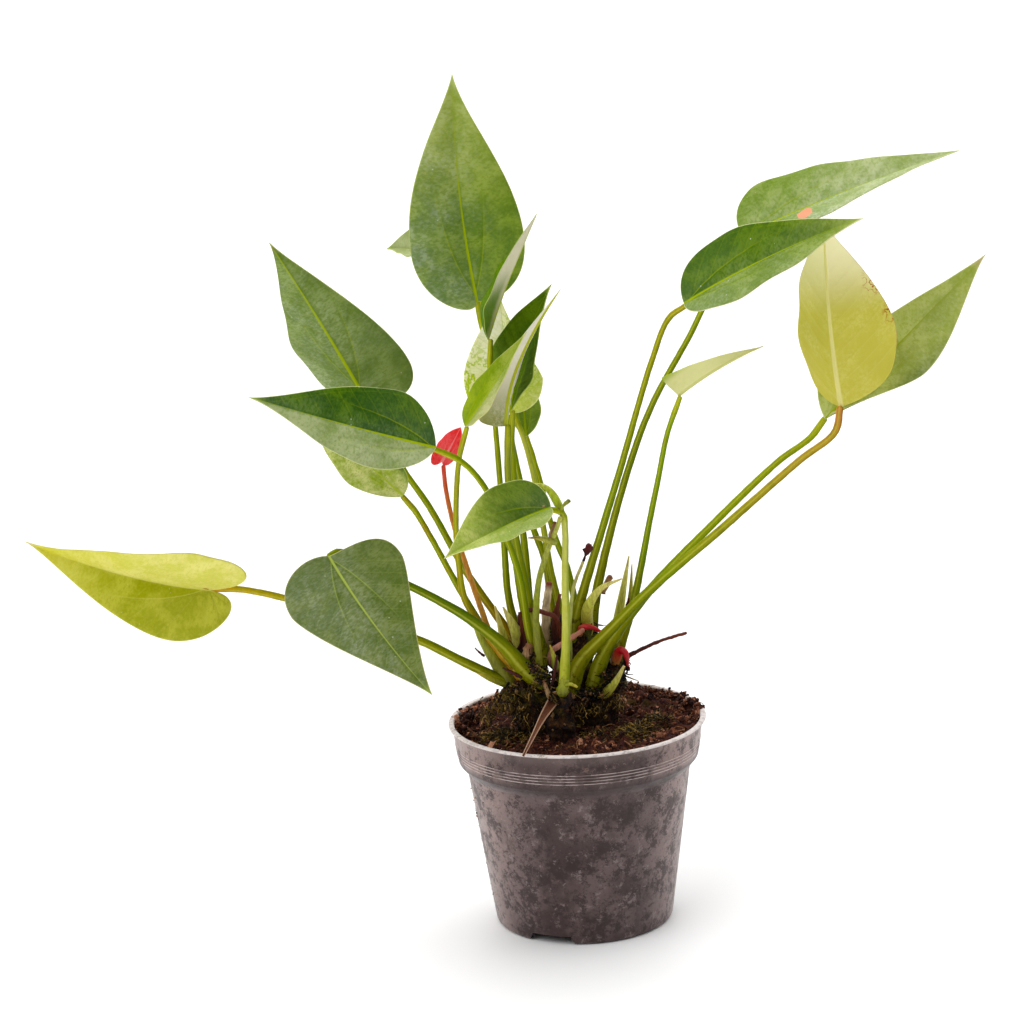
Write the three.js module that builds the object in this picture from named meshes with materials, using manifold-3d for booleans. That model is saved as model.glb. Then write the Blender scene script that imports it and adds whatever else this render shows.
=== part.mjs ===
// Potted flamingo flower: a plastic nursery pot full of soil, a knobbly rhizome that stands out of it,
// heart-shaped leaves on long stalks, one small red flower, roots and old sheaths.
// Millimetres, +Z up. The origin is the middle of the pot's foot, on the surface that it stands on.

import * as THREE from "three";
import { mergeVertices } from "three/addons/utils/BufferGeometryUtils.js";
import Module from "manifold-3d";

const wasm = await Module();
wasm.setup();

// Driving dimensions
const POT = {
  height: 97,
  lipRadius: 60,
  lipHeight: 1.5,
  collarTopRadius: 58.4,
  collarFootRadius: 56,
  collarFoot: 79,
  shoulderRadius: 52.1,
  shoulder: 74.4,
  footRadius: 41.7,
  footRound: 1.6,
  wall: 1.1,
  floor: 5,
  recess: 3,
  discRadius: 9,
  ringWidth: 3.4,
  edge: 0.5,
  sides: 36,
};
const COLLAR_RINGS = { count: 4, first: 82.1, pitch: 1.45, height: 0.8, relief: 0.35 };
const NOTCHES = { count: 3, first: -114, topWidth: 19, footWidth: 24, height: 4.2, reach: 8 };
const DRAIN_HOLES = { count: 6, circle: 27, radius: 4, sides: 8 };
const SOIL = { level: 92.6, gap: 0.35, rings: 8, relief: 1.1, rise: 0.04, dip: 3 };
const SOIL_WAVES = [
  { height: 0.5, x: 0.31, y: 0.27, phase: 1.3 },
  { height: 0.5, x: 0.31, y: -0.27, phase: 1.3 },
  { height: 0.6, x: 0.63, y: -0.5, phase: 0 },
  { height: 0.5, x: 0.4, y: 0.9, phase: 1.6 },
];
const CLEARANCE = 0.35;
const STALK = { sides: 6, step: 14, sheathLength: 26, bodyShare: 1.5, seat: 0.2 };
const PIECE_STEP = 7.5;

// A blade is a sheet of rows along its midrib and columns out to its margin. footPower crowds the rows
// towards the stalk. lobeShare of each margin runs round the lobe behind the widest place. The margin
// draws in to neck of the half's width at neckPlace of the way from there to the tip.
const BLADE = {
  thickness: 0.8,
  rows: 12,
  columns: 2,
  footPower: 1.7,
  lobeShare: 0.38,
  notchWidth: 0.3,
  neck: 0.15,
  neckPlace: 0.79,
};

// The plant was measured on one photograph, 1024 pixels each way. A place is [pixel x, pixel y, depth],
// where depth is millimetres behind the pot's axis, and seen() turns it into a point of the frame.
const VIEW = { centre: 512, focal: 3000, pitch: 13.3, roll: -2.6, distance: 1420, foot: [585, 912.5] };

// Leaves: the midrib runs from base by middle to tip. width, belly, lobe, heel and lift hold the two halves,
// first the half to the left of the midrib as one looks from base to tip, then the right one. belly is the
// widest place, as a share of the length. lobe and heel draw the outline back behind the stalk, by the
// midrib and by the margin, and a small notch closes the gap between the lobes. full is how long the outline
// stays wide, and neck how wide it still is near the tip. lift turns a half out of the picture plane, towards
// the viewer where it is positive, and curl bends it on from there, in degrees. face is 1 where the upper
// side is seen. girth is the stalk's radius at its foot and at the blade.
const LEAVES = [
  {
    name: "top", base: [477, 301, 24], middle: [459, 190, 28], tip: [452, 73, 20],
    width: [26, 27], belly: [0.25, 0.27], lobe: [9, 4], heel: [-1, -2], notch: [0.05, 0.3],
    full: [0.45, 0.45], lift: [20, 20], curl: -24, face: 1, girth: [2.1, 1.2],
    stalk: [
      [538, 672, 10], [533, 645, 13], [524, 540, 24], [514, 478, 28],
      [509, 412, 31], [497, 368, 32], [483, 331, 30],
    ],
  },
  {
    name: "top_rear", base: [452, 264, 40], middle: [424, 252, 54], tip: [386, 249, 66],
    width: [15, 18], belly: [0.3, 0.4], lobe: [4, 4], heel: [0, 0],
    full: [0.6, 0.6], lift: [76, -10], curl: -16, face: 1, girth: [2.1, 1.1],
    stalk: [
      [560, 676, 15], [556, 648, 18], [545, 561, 26], [534, 530, 30], [520, 480, 36],
      [508, 420, 42], [497, 350, 45], [480, 300, 45], [464, 276, 43],
    ],
  },
  {
    name: "left_upper", base: [362, 393, 6], middle: [317, 317, -2], tip: [268, 241, -12],
    width: [26, 26], belly: [0.29, 0.03], lobe: [3, 15], heel: [0, 13],
    full: [0.28, 0.3], neck: [0.02, 0.12], lift: [-40, 8], curl: -18, face: 1, girth: [2.1, 1.2],
    stalk: [[526, 662, 5], [506, 629, 5], [465, 570, 8], [430, 508, 9], [402, 467, 10], [378, 420, 10]],
  },
  {
    name: "left_middle", base: [436, 448, -30], middle: [352, 427, -40], tip: [247, 397, -48],
    width: [18, 22.5], belly: [0.43, 0.3], lobe: [-3, -1], heel: [-14, -7],
    full: [0.32, 0.4], neck: [0.02, 0.15], lift: [42, -12], curl: -20, face: 1, girth: [2, 1.2],
    stalk: [
      [541, 684, -4], [541, 665, -7.5], [530, 636, -9], [520, 578, -13],
      [509, 544, -16], [487, 491, -22], [462, 462, -27],
    ],
  },
  {
    name: "left_rear", base: [403, 496, -6], middle: [360, 458, -2], tip: [305, 410, -4],
    width: [14.5, 10.5], belly: [0.45, 0.3], lobe: [-1, 0], heel: [-16, -2],
    full: [0.5, 0.5], lift: [42, 10], curl: -16, face: 1, girth: [2.1, 1.2],
    stalk: [[526, 684, 1], [508, 663, 5], [485, 631, 3], [460, 590, 0], [430, 536, -4], [415, 511, -5]],
  },
  {
    name: "far_left", base: [209, 590, -22], middle: [116, 573, -30], tip: [23.5, 541, -34],
    width: [25, 27.5], belly: [0.15, 0.1], lobe: [24, 24], heel: [4, 15], notch: [0.05, 0.3],
    full: [0.3, 0.4], neck: [0.05, 0.1], lift: [6, 60], curl: -10, face: 1, girth: [2.3, 1.4],
    stalk: [
      [522, 692, -6], [495, 677, -8], [460, 660, -12], [421, 641, -14],
      [350, 616, -16], [284, 598, -18], [245, 590, -20],
    ],
  },
  {
    name: "hanging", base: [329, 556, -42], middle: [374, 624, -52], tip: [433, 696, -56],
    width: [28, 28.5], belly: [0.24, 0.2], lobe: [-2, 6], heel: [1, 3],
    full: [0.2, 0.16], neck: [0.15, 0.1], lift: [8, 8], curl: -14, face: 1, girth: [4.6, 1.4],
    stalk: [
      [544, 682, -12], [526, 670, -15], [504, 646, -16], [471, 620, -18],
      [430, 596, -22], [385, 574, -26], [350, 556, -32], [337, 552, -37],
    ],
  },
  {
    name: "right_top", base: [744, 236, 20], middle: [850, 190, 14], tip: [960, 150, 8],
    width: [26, 27], belly: [0.18, 0.3], lobe: [3, 3], heel: [1, 1],
    full: [0.3, 0.3], lift: [-36, 79], curl: -10, face: 1, girth: [2.8, 1.2],
    stalk: [
      [590, 645, 13], [597, 590, 14], [628, 470, 18],
      [652, 405, 19], [690, 335, 20], [712, 290, 20],
    ],
  },
  {
    name: "right_middle", base: [684, 304, -14], middle: [772, 256, -24], tip: [864, 218, -34],
    width: [23, 23], belly: [0.3, 0.36], lobe: [0, 0], heel: [-3, -6],
    full: [0.26, 0.45], lift: [-28, 66], curl: -10, face: 1, girth: [2.8, 1.2],
    stalk: [[574, 642, 8], [578, 612, 6], [604, 523, 0], [620, 470, -2], [652, 360, -8], [669, 318, -11]],
  },
  {
    name: "right_yellow", base: [841, 407, -6], middle: [830, 322, -10], tip: [824, 222, -12],
    width: [27, 31.5], belly: [0.38, 0.33], lobe: [-1, -1], heel: [-3, -3],
    full: [0.6, 0.45], neck: [0.3, 0.25], lift: [-58, -8], curl: -14, face: -1, girth: [4.6, 1.5],
    stalk: [
      [567, 700, -6], [572, 682, -9], [580, 662, -10], [609, 631, -10], [652, 588, -8],
      [720, 530, -7], [800, 460, -7], [835, 432, -8],
    ],
  },
  {
    name: "far_right", base: [825, 419, 18], middle: [905, 337, 26], tip: [987, 253, 30],
    width: [19, 18.5], belly: [0.19, 0.46], lobe: [-1, -20], heel: [-7, -38],
    full: [0.3, 0.35], neck: [0.15, 0.08], lift: [25, 16], curl: -16, face: 1, girth: [3.8, 1.4],
    stalk: [[592, 690, 0], [604, 654, 2], [649, 591, 4], [720, 517, 8], [780, 460, 13], [810, 438, 16]],
  },
  {
    name: "front_small", base: [551, 508, -38], middle: [500, 529, -44], tip: [443.5, 559, -54],
    width: [18.5, 19], belly: [0.36, 0.36], lobe: [1, 2], heel: [-2, -1],
    full: [0.4, 0.4], lift: [74, -8], curl: -10, face: 1, girth: [2.2, 1.3],
    stalk: [[563, 697, -18], [566, 640, -22], [565, 580, -28], [565, 530, -33], [562, 513, -36]],
  },
  {
    name: "folded", base: [488, 340, 0], middle: [505, 287, -5], tip: [537, 213, -14],
    width: [17, 17], belly: [0.32, 0.5], lobe: [-3, -8], heel: [-8, -22],
    full: [0.3, 0.45], lift: [-58, 112], curl: -10, face: 1, girth: [2.1, 1.1],
    stalk: [
      [529, 674, 12], [523, 648, 13], [509, 600, 12], [504, 541, 9],
      [500, 482, 4], [495, 423, -2], [490, 372, -2],
    ],
  },
  {
    name: "netted", base: [513, 413, 20], middle: [506, 352, 24], tip: [499, 292, 26],
    width: [21, 17], belly: [0.28, 0.26], lobe: [3, 1], heel: [0, -2],
    full: [0.35, 0.04], neck: [0.15, 0.02], lift: [10, 34], curl: -16, face: 1, girth: [2.1, 1.1],
    stalk: [[571, 676, 13], [569, 648, 15], [551, 571, 17], [543, 525, 18], [535, 482, 19], [524, 440, 20]],
  },
  {
    name: "dark", base: [511, 412, 4], middle: [524, 350, 1], tip: [552, 283, -5],
    width: [15, 15], belly: [0.42, 0.42], lobe: [1, -6], heel: [-4, -20],
    full: [0.35, 0.35], neck: [0.15, 0.05], lift: [-20, 66], curl: -12, face: 1, girth: [2, 1.1],
    stalk: [[534, 655, 5], [520, 590, 7], [514, 540, 8], [514, 478, 8], [512, 440, 6]],
  },
  {
    name: "young", base: [465, 427, -22], middle: [492, 388, -22], tip: [527, 331, -22],
    width: [9.8, 9], belly: [0.4, 0.35], lobe: [-2, -2], heel: [-6, -5],
    full: [0.4, 0.4], lift: [-28, 72], curl: -14, face: 1, girth: [1.9, 1.1],
    stalk: [
      [522, 681, -8], [513, 667, -9], [500, 652, -10], [482, 627, -11.5], [465, 600, -13],
      [459, 566, -15], [456, 530, -17], [459, 460, -20],
    ],
  },
  {
    name: "grey", base: [506, 426, -12], middle: [519, 362, -14], tip: [562, 287, -18],
    width: [13, 11], belly: [0.04, 0.25], lobe: [1, 1], heel: [0, -2],
    full: [0, 0.05], neck: [0.02, 0.02], lift: [-14, -82], curl: -8, face: -1, girth: [2.6, 1.4],
    stalk: [[546, 664, 2], [530, 606, 0], [521, 565, -2], [516, 540, -4], [508, 478, -8]],
  },
  {
    name: "rear_lobe", base: [526, 437, 38], middle: [522, 395, 38], tip: [513, 345, 38],
    width: [7, 9], belly: [0.4, 0.35], lobe: [-2, -2], heel: [-6, -8],
    full: [0.45, 0.45], lift: [20, 36], curl: -10, face: 1, girth: [2.1, 1.1],
    stalk: [[580, 676, 16], [581, 648, 19], [568, 570, 26], [558, 545, 29], [550, 520, 32], [540, 480, 35]],
  },
  {
    name: "right_small", base: [679, 396, -4], middle: [722, 366, -8], tip: [764, 346, -10],
    width: [12, 12], belly: [-0.04, 0.2], lobe: [1, 3], heel: [3, 0],
    full: [0.05, 0.2], neck: [0.05, 0.15], lift: [-14, -100], curl: -8, face: -1, girth: [2.8, 1.1],
    stalk: [[616, 674, 11], [618, 654, 14], [634, 600, 12], [650, 519, 7], [658, 480, 4], [667, 435, 0]],
  },
];

// The rhizome: stout ringed stems that stand out of the soil together
const RHIZOME = [
  { places: [[552, 745, -6], [542, 702, -2], [530, 674, 0], [522, 652, 1]], girth: [9, 5.4] },
  { places: [[572, 745, 2], [570, 690, 4], [562, 648, 8], [559, 618, 10]], girth: [10, 4] },
  { places: [[592, 745, 4], [604, 700, 6], [613, 676, 8], [617, 656, 9]], girth: [10, 5.4] },
  { places: [[578, 740, 6], [580, 680, 8], [583, 645, 9], [584, 622, 9]], girth: [9, 4.4] },
  { places: [[538, 745, -8], [520, 706, -8], [506, 691, -8]], girth: [7, 3.6] },
  { places: [[562, 745, -14], [562, 712, -16], [563, 696, -17]], girth: [8, 4.2] },
  { places: [[548, 740, -6], [534, 706, -7], [521, 682, -6]], girth: [7.5, 4.6] },
  { places: [[556, 740, 4], [545, 702, 8], [533, 664, 10]], girth: [8.5, 5] },
  { places: [[572, 738, 8], [570, 702, 12], [568, 668, 14]], girth: [9, 6] },
];
const RHIZOME_LIMB = { sides: 7, step: 5.5, ringPitch: 11, ringRelief: 0.08 };

// Every other round piece: dry and green sheaths, roots, the bare stalks and the flower stalk
const PIECES = [
  {
    name: "peduncle_red", look: "peduncle", girth: [1.5, 1],
    places: [
      [512, 676, -4], [493, 640, -4.5], [478, 600, -6],
      [454, 526, -11], [446, 490, -14], [443.4, 466.3, -14.8],
    ],
  },
  {
    name: "dry_flower_stalk", look: "youngStalk", girth: [1.2, 0.7],
    places: [[569, 676, 2], [570, 656, 0], [570, 620, -2], [574, 586, -3], [583, 562, -4]],
  },
  {
    name: "dry_flower", look: "maroon", girth: [0.8, 1.6],
    places: [[583.4, 561, -4], [586, 554, -4], [589, 546, -4]],
  },
  {
    name: "bare_stalk", look: "stalk", girth: [1.8, 1],
    places: [
      [539, 664, -13], [536, 620, -18], [539, 580, -25],
      [549, 547, -31], [557, 528, -37], [560, 518, -39],
    ],
  },
  {
    name: "root_right", look: "root", girth: [1.1, 0.7],
    places: [[616, 662, 7], [640, 650, 6], [660, 641, 4], [686, 633, 2]],
  },
  {
    name: "root_bridge", look: "root", girth: [1.3, 1],
    places: [
      [526, 650, 4], [521, 630, 3], [521, 614, 0], [532, 610, -4.9],
      [545, 613, -5], [556, 618, -2], [561, 640, 3],
    ],
  },
  {
    name: "root_pink", look: "pinkRoot", girth: [1.4, 1.1],
    places: [[560, 674, 2], [550, 661, -6.5], [552, 651, -10.5], [567, 641, -10], [583, 630, -6]],
  },
  {
    name: "root_tip_rear", look: "redTip", girth: [1.1, 1.1],
    places: [[580, 634, 4], [581, 628, 0], [591, 627, -2], [603, 633, -3]],
  },
  {
    name: "root_tip_right", look: "redTip", girth: [2, 1.2],
    places: [[615, 661, 5], [620, 650.5, 0], [625.5, 653, -3], [628, 666, -4]],
  },
  {
    name: "sheath_dry", look: "drySheath", girth: [2.2, 0.9],
    places: [[552, 702, -18], [542, 718, -30], [532, 738, -44], [523, 756, -60]],
  },
  {
    name: "sheath_left_outer", look: "greenSheath", girth: [2.2, 0.6],
    places: [[511, 666, 0], [504, 640, -0.5], [495, 606, -3]],
  },
  {
    name: "sheath_left_inner", look: "greenSheath", girth: [3.3, 0.5],
    places: [[525, 654, -1], [516, 632, -2], [503, 607, -4]],
  },
  {
    name: "sheath_right", look: "greenSheath", girth: [2.6, 0.5],
    places: [[615, 650, 19], [620, 610, 18], [629, 556, 18]],
  },
  {
    name: "sheath_curved", look: "greenSheath", girth: [2.8, 0.5],
    places: [[588, 636, 7], [587, 618, 3], [591, 604, -1], [602, 589, -4], [622, 579, -6]],
  },
  {
    name: "sheath_low_right", look: "greenSheath", girth: [1.9, 0.7],
    places: [[602, 698, -2], [614, 684, -7], [624, 666, -10]],
  },
  {
    name: "sheath_pale", look: "paleSheath", girth: [2.3, 1.6],
    places: [[548, 655, 8], [546, 610, 9], [549, 584, 10]],
  },
  {
    name: "leaf_unrolling", look: "youngLeaf", girth: [1.5, 0.9],
    places: [[561.5, 511.5, -35.3], [557, 502, -34], [550, 491, -32], [542, 485, -31], [534, 484, -30]],
  },
];

// The flower: a small spathe, folded along its rib
const SPATHE = {
  name: "spathe", base: [442, 462, -14], middle: [452, 445, -14], tip: [461, 427, -13],
  width: [6.7, 4.5], belly: [0.2, 0.3], lobe: [6, 2], heel: [4.5, 0],
  full: [0.5, 0.5], neck: [0.6, 0.6], lift: [-10, 30], curl: -30,
};

// Colour and roughness of each look, and the looks of the blades that aren't plain green
const LOOKS = {
  pot: [0x6b5d60, 0.55],
  soil: [0x3c2a20, 0.95],
  rhizome: [0x4a3626, 0.9],
  leaf: [0x56803a, 0.4],
  yellowLeaf: [0xb9bf4e, 0.45],
  youngLeaf: [0xa9bd4a, 0.45],
  greyLeaf: [0x9a9c78, 0.5],
  stalk: [0x7d9428, 0.45],
  youngStalk: [0xb4bf5c, 0.5],
  peduncle: [0xc8622e, 0.5],
  spathe: [0xd8343f, 0.35],
  maroon: [0x4d1418, 0.8],
  root: [0x4a1f18, 0.8],
  pinkRoot: [0xa8695a, 0.7],
  redTip: [0xb01f36, 0.5],
  drySheath: [0x6e4632, 0.85],
  paleSheath: [0xb09468, 0.8],
  greenSheath: [0x9aa53a, 0.55],
};
const BLADE_LOOKS = {
  far_left: "yellowLeaf",
  right_yellow: "yellowLeaf",
  netted: "youngLeaf",
  left_rear: "youngLeaf",
  young: "youngLeaf",
  right_small: "youngLeaf",
  grey: "greyLeaf",
};

const turned = (angle) => THREE.MathUtils.degToRad(angle);
const forward = new THREE.Vector3(0, Math.cos(turned(VIEW.pitch)), -Math.sin(turned(VIEW.pitch)));
const levelRight = new THREE.Vector3(1, 0, 0);
const levelUp = new THREE.Vector3().crossVectors(levelRight, forward);
const right = levelRight.clone().applyAxisAngle(forward, -turned(VIEW.roll));
const up = levelUp.clone().applyAxisAngle(forward, -turned(VIEW.roll));
const eye = new THREE.Vector3()
  .addScaledVector(forward, -VIEW.distance)
  .addScaledVector(right, (-(VIEW.foot[0] - VIEW.centre) / VIEW.focal) * VIEW.distance)
  .addScaledVector(up, ((VIEW.foot[1] - VIEW.centre) / VIEW.focal) * VIEW.distance);
const toEye = forward.clone().negate();

function seen([px, py, depth]) {
  const ray = forward
    .clone()
    .addScaledVector(right, (px - VIEW.centre) / VIEW.focal)
    .addScaledVector(up, -(py - VIEW.centre) / VIEW.focal);
  return eye.clone().addScaledVector(ray, (depth - eye.y) / ray.y);
}

// Solids from the boolean library and back
function solidOf(geometry) {
  const plain = geometry.clone();
  plain.deleteAttribute("normal");
  plain.deleteAttribute("uv");
  const merged = mergeVertices(plain, 1e-4);
  const mesh = new wasm.Mesh({
    numProp: 3,
    vertProperties: new Float32Array(merged.attributes.position.array),
    triVerts: new Uint32Array(merged.index.array),
  });
  return new wasm.Manifold(mesh);
}

function geometryOf(solid) {
  const mesh = solid.getMesh();
  return indexed(Array.from(mesh.vertProperties), Array.from(mesh.triVerts));
}

function indexed(positions, triangles) {
  const geometry = new THREE.BufferGeometry();
  geometry.setAttribute("position", new THREE.Float32BufferAttribute(positions, 3));
  geometry.setIndex(triangles);
  geometry.computeVertexNormals();
  return geometry;
}

// A closed skin from points and triangles, turned so that its faces point out
function closedSkin(points, triangles) {
  let volume = 0;
  for (const [a, b, c] of triangles) {
    volume += points[a].dot(new THREE.Vector3().crossVectors(points[b], points[c]));
  }
  const facing = volume > 0 ? triangles : triangles.map(([a, b, c]) => [a, c, b]);
  return indexed(points.flatMap((point) => point.toArray()), facing.flat());
}

// A round limb along a smooth curve: radiusAt takes 0 at its foot to 1 at its tip
function limb(places, radiusAt, options = {}) {
  const { sides = STALK.sides, step = STALK.step, grow = 0 } = options;
  const curve = new THREE.CatmullRomCurve3(places);
  const steps = Math.max(3, Math.round(curve.getLength() / step));
  const points = [];
  const triangles = [];
  for (let i = 0; i <= steps; i += 1) {
    const centre = curve.getPointAt(i / steps);
    const along = curve.getTangentAt(i / steps);
    if (i === 0) centre.addScaledVector(along, -grow);
    if (i === steps) centre.addScaledVector(along, grow);
    const across = new THREE.Vector3().crossVectors(along, toEye).normalize();
    const outward = new THREE.Vector3().crossVectors(across, along);
    const radius = radiusAt(i / steps) + grow;
    for (let k = 0; k < sides; k += 1) {
      const angle = (2 * Math.PI * k) / sides;
      points.push(
        centre
          .clone()
          .addScaledVector(across, radius * Math.cos(angle))
          .addScaledVector(outward, radius * Math.sin(angle)),
      );
      if (i === 0) continue;
      const here = i * sides + k;
      const next = i * sides + ((k + 1) % sides);
      triangles.push([here - sides, next - sides, next], [here - sides, next, here]);
    }
  }
  for (let k = 1; k < sides - 1; k += 1) {
    triangles.push([0, k + 1, k]);
    triangles.push([steps * sides, steps * sides + k, steps * sides + k + 1]);
  }
  return closedSkin(points, triangles);
}

const taper = (foot, tip) => (t) => foot + (tip - foot) * t;

// The two halves of a leaf outline: around the lobe to the widest place, then in to the drawn-out tip.
// share runs from 0 at the notch behind the stalk to 1 at the tip.
function margin(leaf, half, length, share) {
  const width = leaf.width[half];
  const belly = leaf.belly[half] * length;
  const rest = length - belly;
  const neck = leaf.neck?.[half] ?? BLADE.neck;
  const notch = leaf.notch?.[half] ?? BLADE.notchWidth;
  const atLobe = share <= BLADE.lobeShare;
  const t = atLobe ? share / BLADE.lobeShare : (share - BLADE.lobeShare) / (1 - BLADE.lobeShare);
  const lobeCorners = [
    [0, 0],
    [-leaf.lobe[half], notch * width],
    [-leaf.heel[half], width],
    [belly, width],
  ];
  const tipCorners = [
    [belly, width],
    [belly + leaf.full[half] * rest, width],
    [belly + BLADE.neckPlace * rest, neck * width],
    [length, 0],
  ];
  const corners = atLobe ? lobeCorners : tipCorners;
  const weights = [(1 - t) ** 3, 3 * (1 - t) ** 2 * t, 3 * (1 - t) * t ** 2, t ** 3];
  return [0, 1].map((axis) => weights.reduce((sum, weight, i) => sum + weight * corners[i][axis], 0));
}

// The frame of a leaf at a place along its midrib, in millimetres from the stalk
function leafFrame(leaf) {
  const [base, middle, tip] = [leaf.base, leaf.middle, leaf.tip].map(seen);
  const control = middle.clone().multiplyScalar(2).addScaledVector(base, -0.5).addScaledVector(tip, -0.5);
  const midrib = new THREE.QuadraticBezierCurve3(base, control, tip);
  const length = midrib.getLength();
  const at = (x) => {
    const t = Math.max(0, x / length);
    const along = midrib.getTangent(t);
    const centre = midrib.getPoint(t);
    if (x < 0) centre.addScaledVector(along, x);
    const across = new THREE.Vector3().crossVectors(along, toEye).normalize();
    const outward = new THREE.Vector3().crossVectors(across, along);
    return { centre, along, across, outward };
  };
  return { length, at };
}

function bladePoint(leaf, frame, half, x, y) {
  const { centre, across, outward } = frame.at(x);
  const side = half === 0 ? -1 : 1;
  const spread = y / leaf.width[half];
  const angle = turned(leaf.lift[half] + (leaf.curl * spread) / 2);
  return centre
    .addScaledVector(across, side * y * Math.cos(angle))
    .addScaledVector(outward, y * Math.sin(angle));
}

// A blade: both halves meet along the midrib, and the two faces are the mid surface moved both ways
function blade(leaf) {
  const frame = leafFrame(leaf);
  const rows = BLADE.rows;
  const columns = BLADE.columns;
  const points = [];
  const sheet = [];
  const rim = [];
  const foot = (row) => frame.length * (row / rows) ** BLADE.footPower;
  for (let row = 0; row <= rows; row += 1) points.push(frame.at(foot(row)).centre);
  for (const half of [0, 1]) {
    const start = points.length;
    const place = (row, column) => {
      if (row === 0 || row === rows || column === 0) return row;
      return start + (row - 1) * columns + column - 1;
    };
    for (let row = 1; row < rows; row += 1) {
      const [edgeX, edgeY] = margin(leaf, half, frame.length, row / rows);
      for (let column = 1; column <= columns; column += 1) {
        const share = column / columns;
        const x = foot(row) + (edgeX - foot(row)) * share;
        points.push(bladePoint(leaf, frame, half, x, edgeY * share));
      }
    }
    for (let row = 0; row < rows; row += 1) {
      for (let column = 0; column < columns; column += 1) {
        const [a, b, c, d] = [
          place(row, column), place(row, column + 1), place(row + 1, column + 1), place(row + 1, column),
        ];
        const faces = [[a, b, c], [a, c, d]].filter((face) => new Set(face).size === 3);
        sheet.push(...(half === 0 ? faces : faces.map(([i, j, k]) => [i, k, j])));
      }
      const edge = [place(row, columns), place(row + 1, columns)];
      rim.push(half === 0 ? edge : edge.reverse());
    }
  }
  return thickened(points, sheet, rim, BLADE.thickness);
}

function thickened(points, sheet, rim, thickness) {
  const normals = points.map(() => new THREE.Vector3());
  for (const face of sheet) {
    const [a, b, c] = face.map((i) => points[i]);
    const normal = new THREE.Vector3().crossVectors(b.clone().sub(a), c.clone().sub(a)).normalize();
    face.forEach((i) => normals[i].add(normal));
  }
  normals.forEach((normal) => normal.normalize());
  const moved = (way) => points.map((point, i) => point.clone().addScaledVector(normals[i], way));
  const count = points.length;
  const triangles = [...sheet, ...sheet.map(([a, b, c]) => [a + count, c + count, b + count])];
  for (const [a, b] of rim) triangles.push([b, a, a + count], [b, a + count, b + count]);
  return closedSkin([...moved(thickness / 2), ...moved(-thickness / 2)], triangles);
}

// Where the stalk ends, just clear of the blade's underside, with the blade's own normal there
function stalkEnd(leaf) {
  const { centre, across, outward } = leafFrame(leaf).at(0);
  const tilt = turned((leaf.lift[1] - leaf.lift[0]) / 2);
  const fold = turned((leaf.lift[1] + leaf.lift[0]) / 2);
  const upper = outward.clone().multiplyScalar(Math.cos(tilt)).addScaledVector(across, -Math.sin(tilt));
  const inTheFold = leaf.face * fold < 0;
  const arrival = centre.clone().sub(seen(leaf.stalk.at(-1))).normalize();
  const spread = leaf.girth[1] * arrival.cross(upper).length();
  const reach = (BLADE.thickness / 2 + STALK.seat + spread) / (inTheFold ? Math.cos(fold) : 1);
  return centre.addScaledVector(upper, -leaf.face * reach);
}

function stalk(leaf, grow = 0) {
  const places = [...leaf.stalk.map(seen), stalkEnd(leaf)];
  const length = new THREE.CatmullRomCurve3(places).getLength();
  const [foot, tip] = leaf.girth;
  const body = Math.min(foot, STALK.bodyShare * tip);
  const sheath = (t) => (foot - body) * Math.exp((-t * length) / STALK.sheathLength);
  return limb(places, (t) => taper(body, tip)(t) + sheath(t), { grow });
}

// The pot: one lathed wall with a foot ring, a floor, a collar and a lip
function potGeometry() {
  const { height, edge, lipRadius, lipHeight, recess, footRadius, footRound, ringWidth, discRadius } = POT;
  const under = [
    [0, 0],
    [discRadius, 0],
    [discRadius, recess],
    [footRadius - ringWidth, recess],
    [footRadius - ringWidth, 0],
  ];
  const outside = [
    [footRadius - footRound, 0],
    [footRadius - footRound / 3, footRound / 3],
    [footRadius, footRound],
    [POT.shoulderRadius, POT.shoulder],
    [POT.collarFootRadius, POT.collarFoot],
    ...collarRings(),
    [POT.collarTopRadius, height - lipHeight],
    [lipRadius, height - lipHeight + edge],
    [lipRadius, height - edge],
    [lipRadius - edge, height],
  ];
  const wallTop = [POT.collarTopRadius - POT.wall + edge, height];
  const inside = [wallTop, ...innerWall().reverse(), [0, POT.floor]];
  const profile = [...under, ...outside, ...inside].map(([r, z]) => new THREE.Vector2(r, z));
  const lathe = new THREE.LatheGeometry(profile, POT.sides).rotateX(Math.PI / 2);
  const cuts = [...notches(), ...drainHoles()];
  return geometryOf(cuts.reduce((solid, cut) => solid.subtract(cut), latheSolid(lathe)));
}

function innerWall() {
  const { wall, floor, edge, height } = POT;
  const slope = (POT.shoulderRadius - POT.footRadius) / POT.shoulder;
  return [
    [POT.footRadius + slope * floor - wall, floor],
    [POT.shoulderRadius - wall, POT.shoulder + edge],
    [POT.collarFootRadius - wall, POT.collarFoot + edge],
    [POT.collarTopRadius - wall, height - edge],
  ];
}

function collarRadiusAt(z) {
  const { collarFoot, height, lipHeight, collarFootRadius, collarTopRadius } = POT;
  return THREE.MathUtils.mapLinear(z, collarFoot, height - lipHeight, collarFootRadius, collarTopRadius);
}

function innerRadiusAt(z) {
  const [[lowRadius, low], [highRadius, high]] = innerWall().slice(-2);
  return THREE.MathUtils.mapLinear(z, low, high, lowRadius, highRadius);
}

function collarRings() {
  const { count, first, pitch, height, relief } = COLLAR_RINGS;
  return Array.from({ length: count }, (_, i) => first + i * pitch).flatMap((z) => [
    [collarRadiusAt(z), z],
    [collarRadiusAt(z) + relief, z + height / 2],
    [collarRadiusAt(z + height), z + height],
  ]);
}

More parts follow.
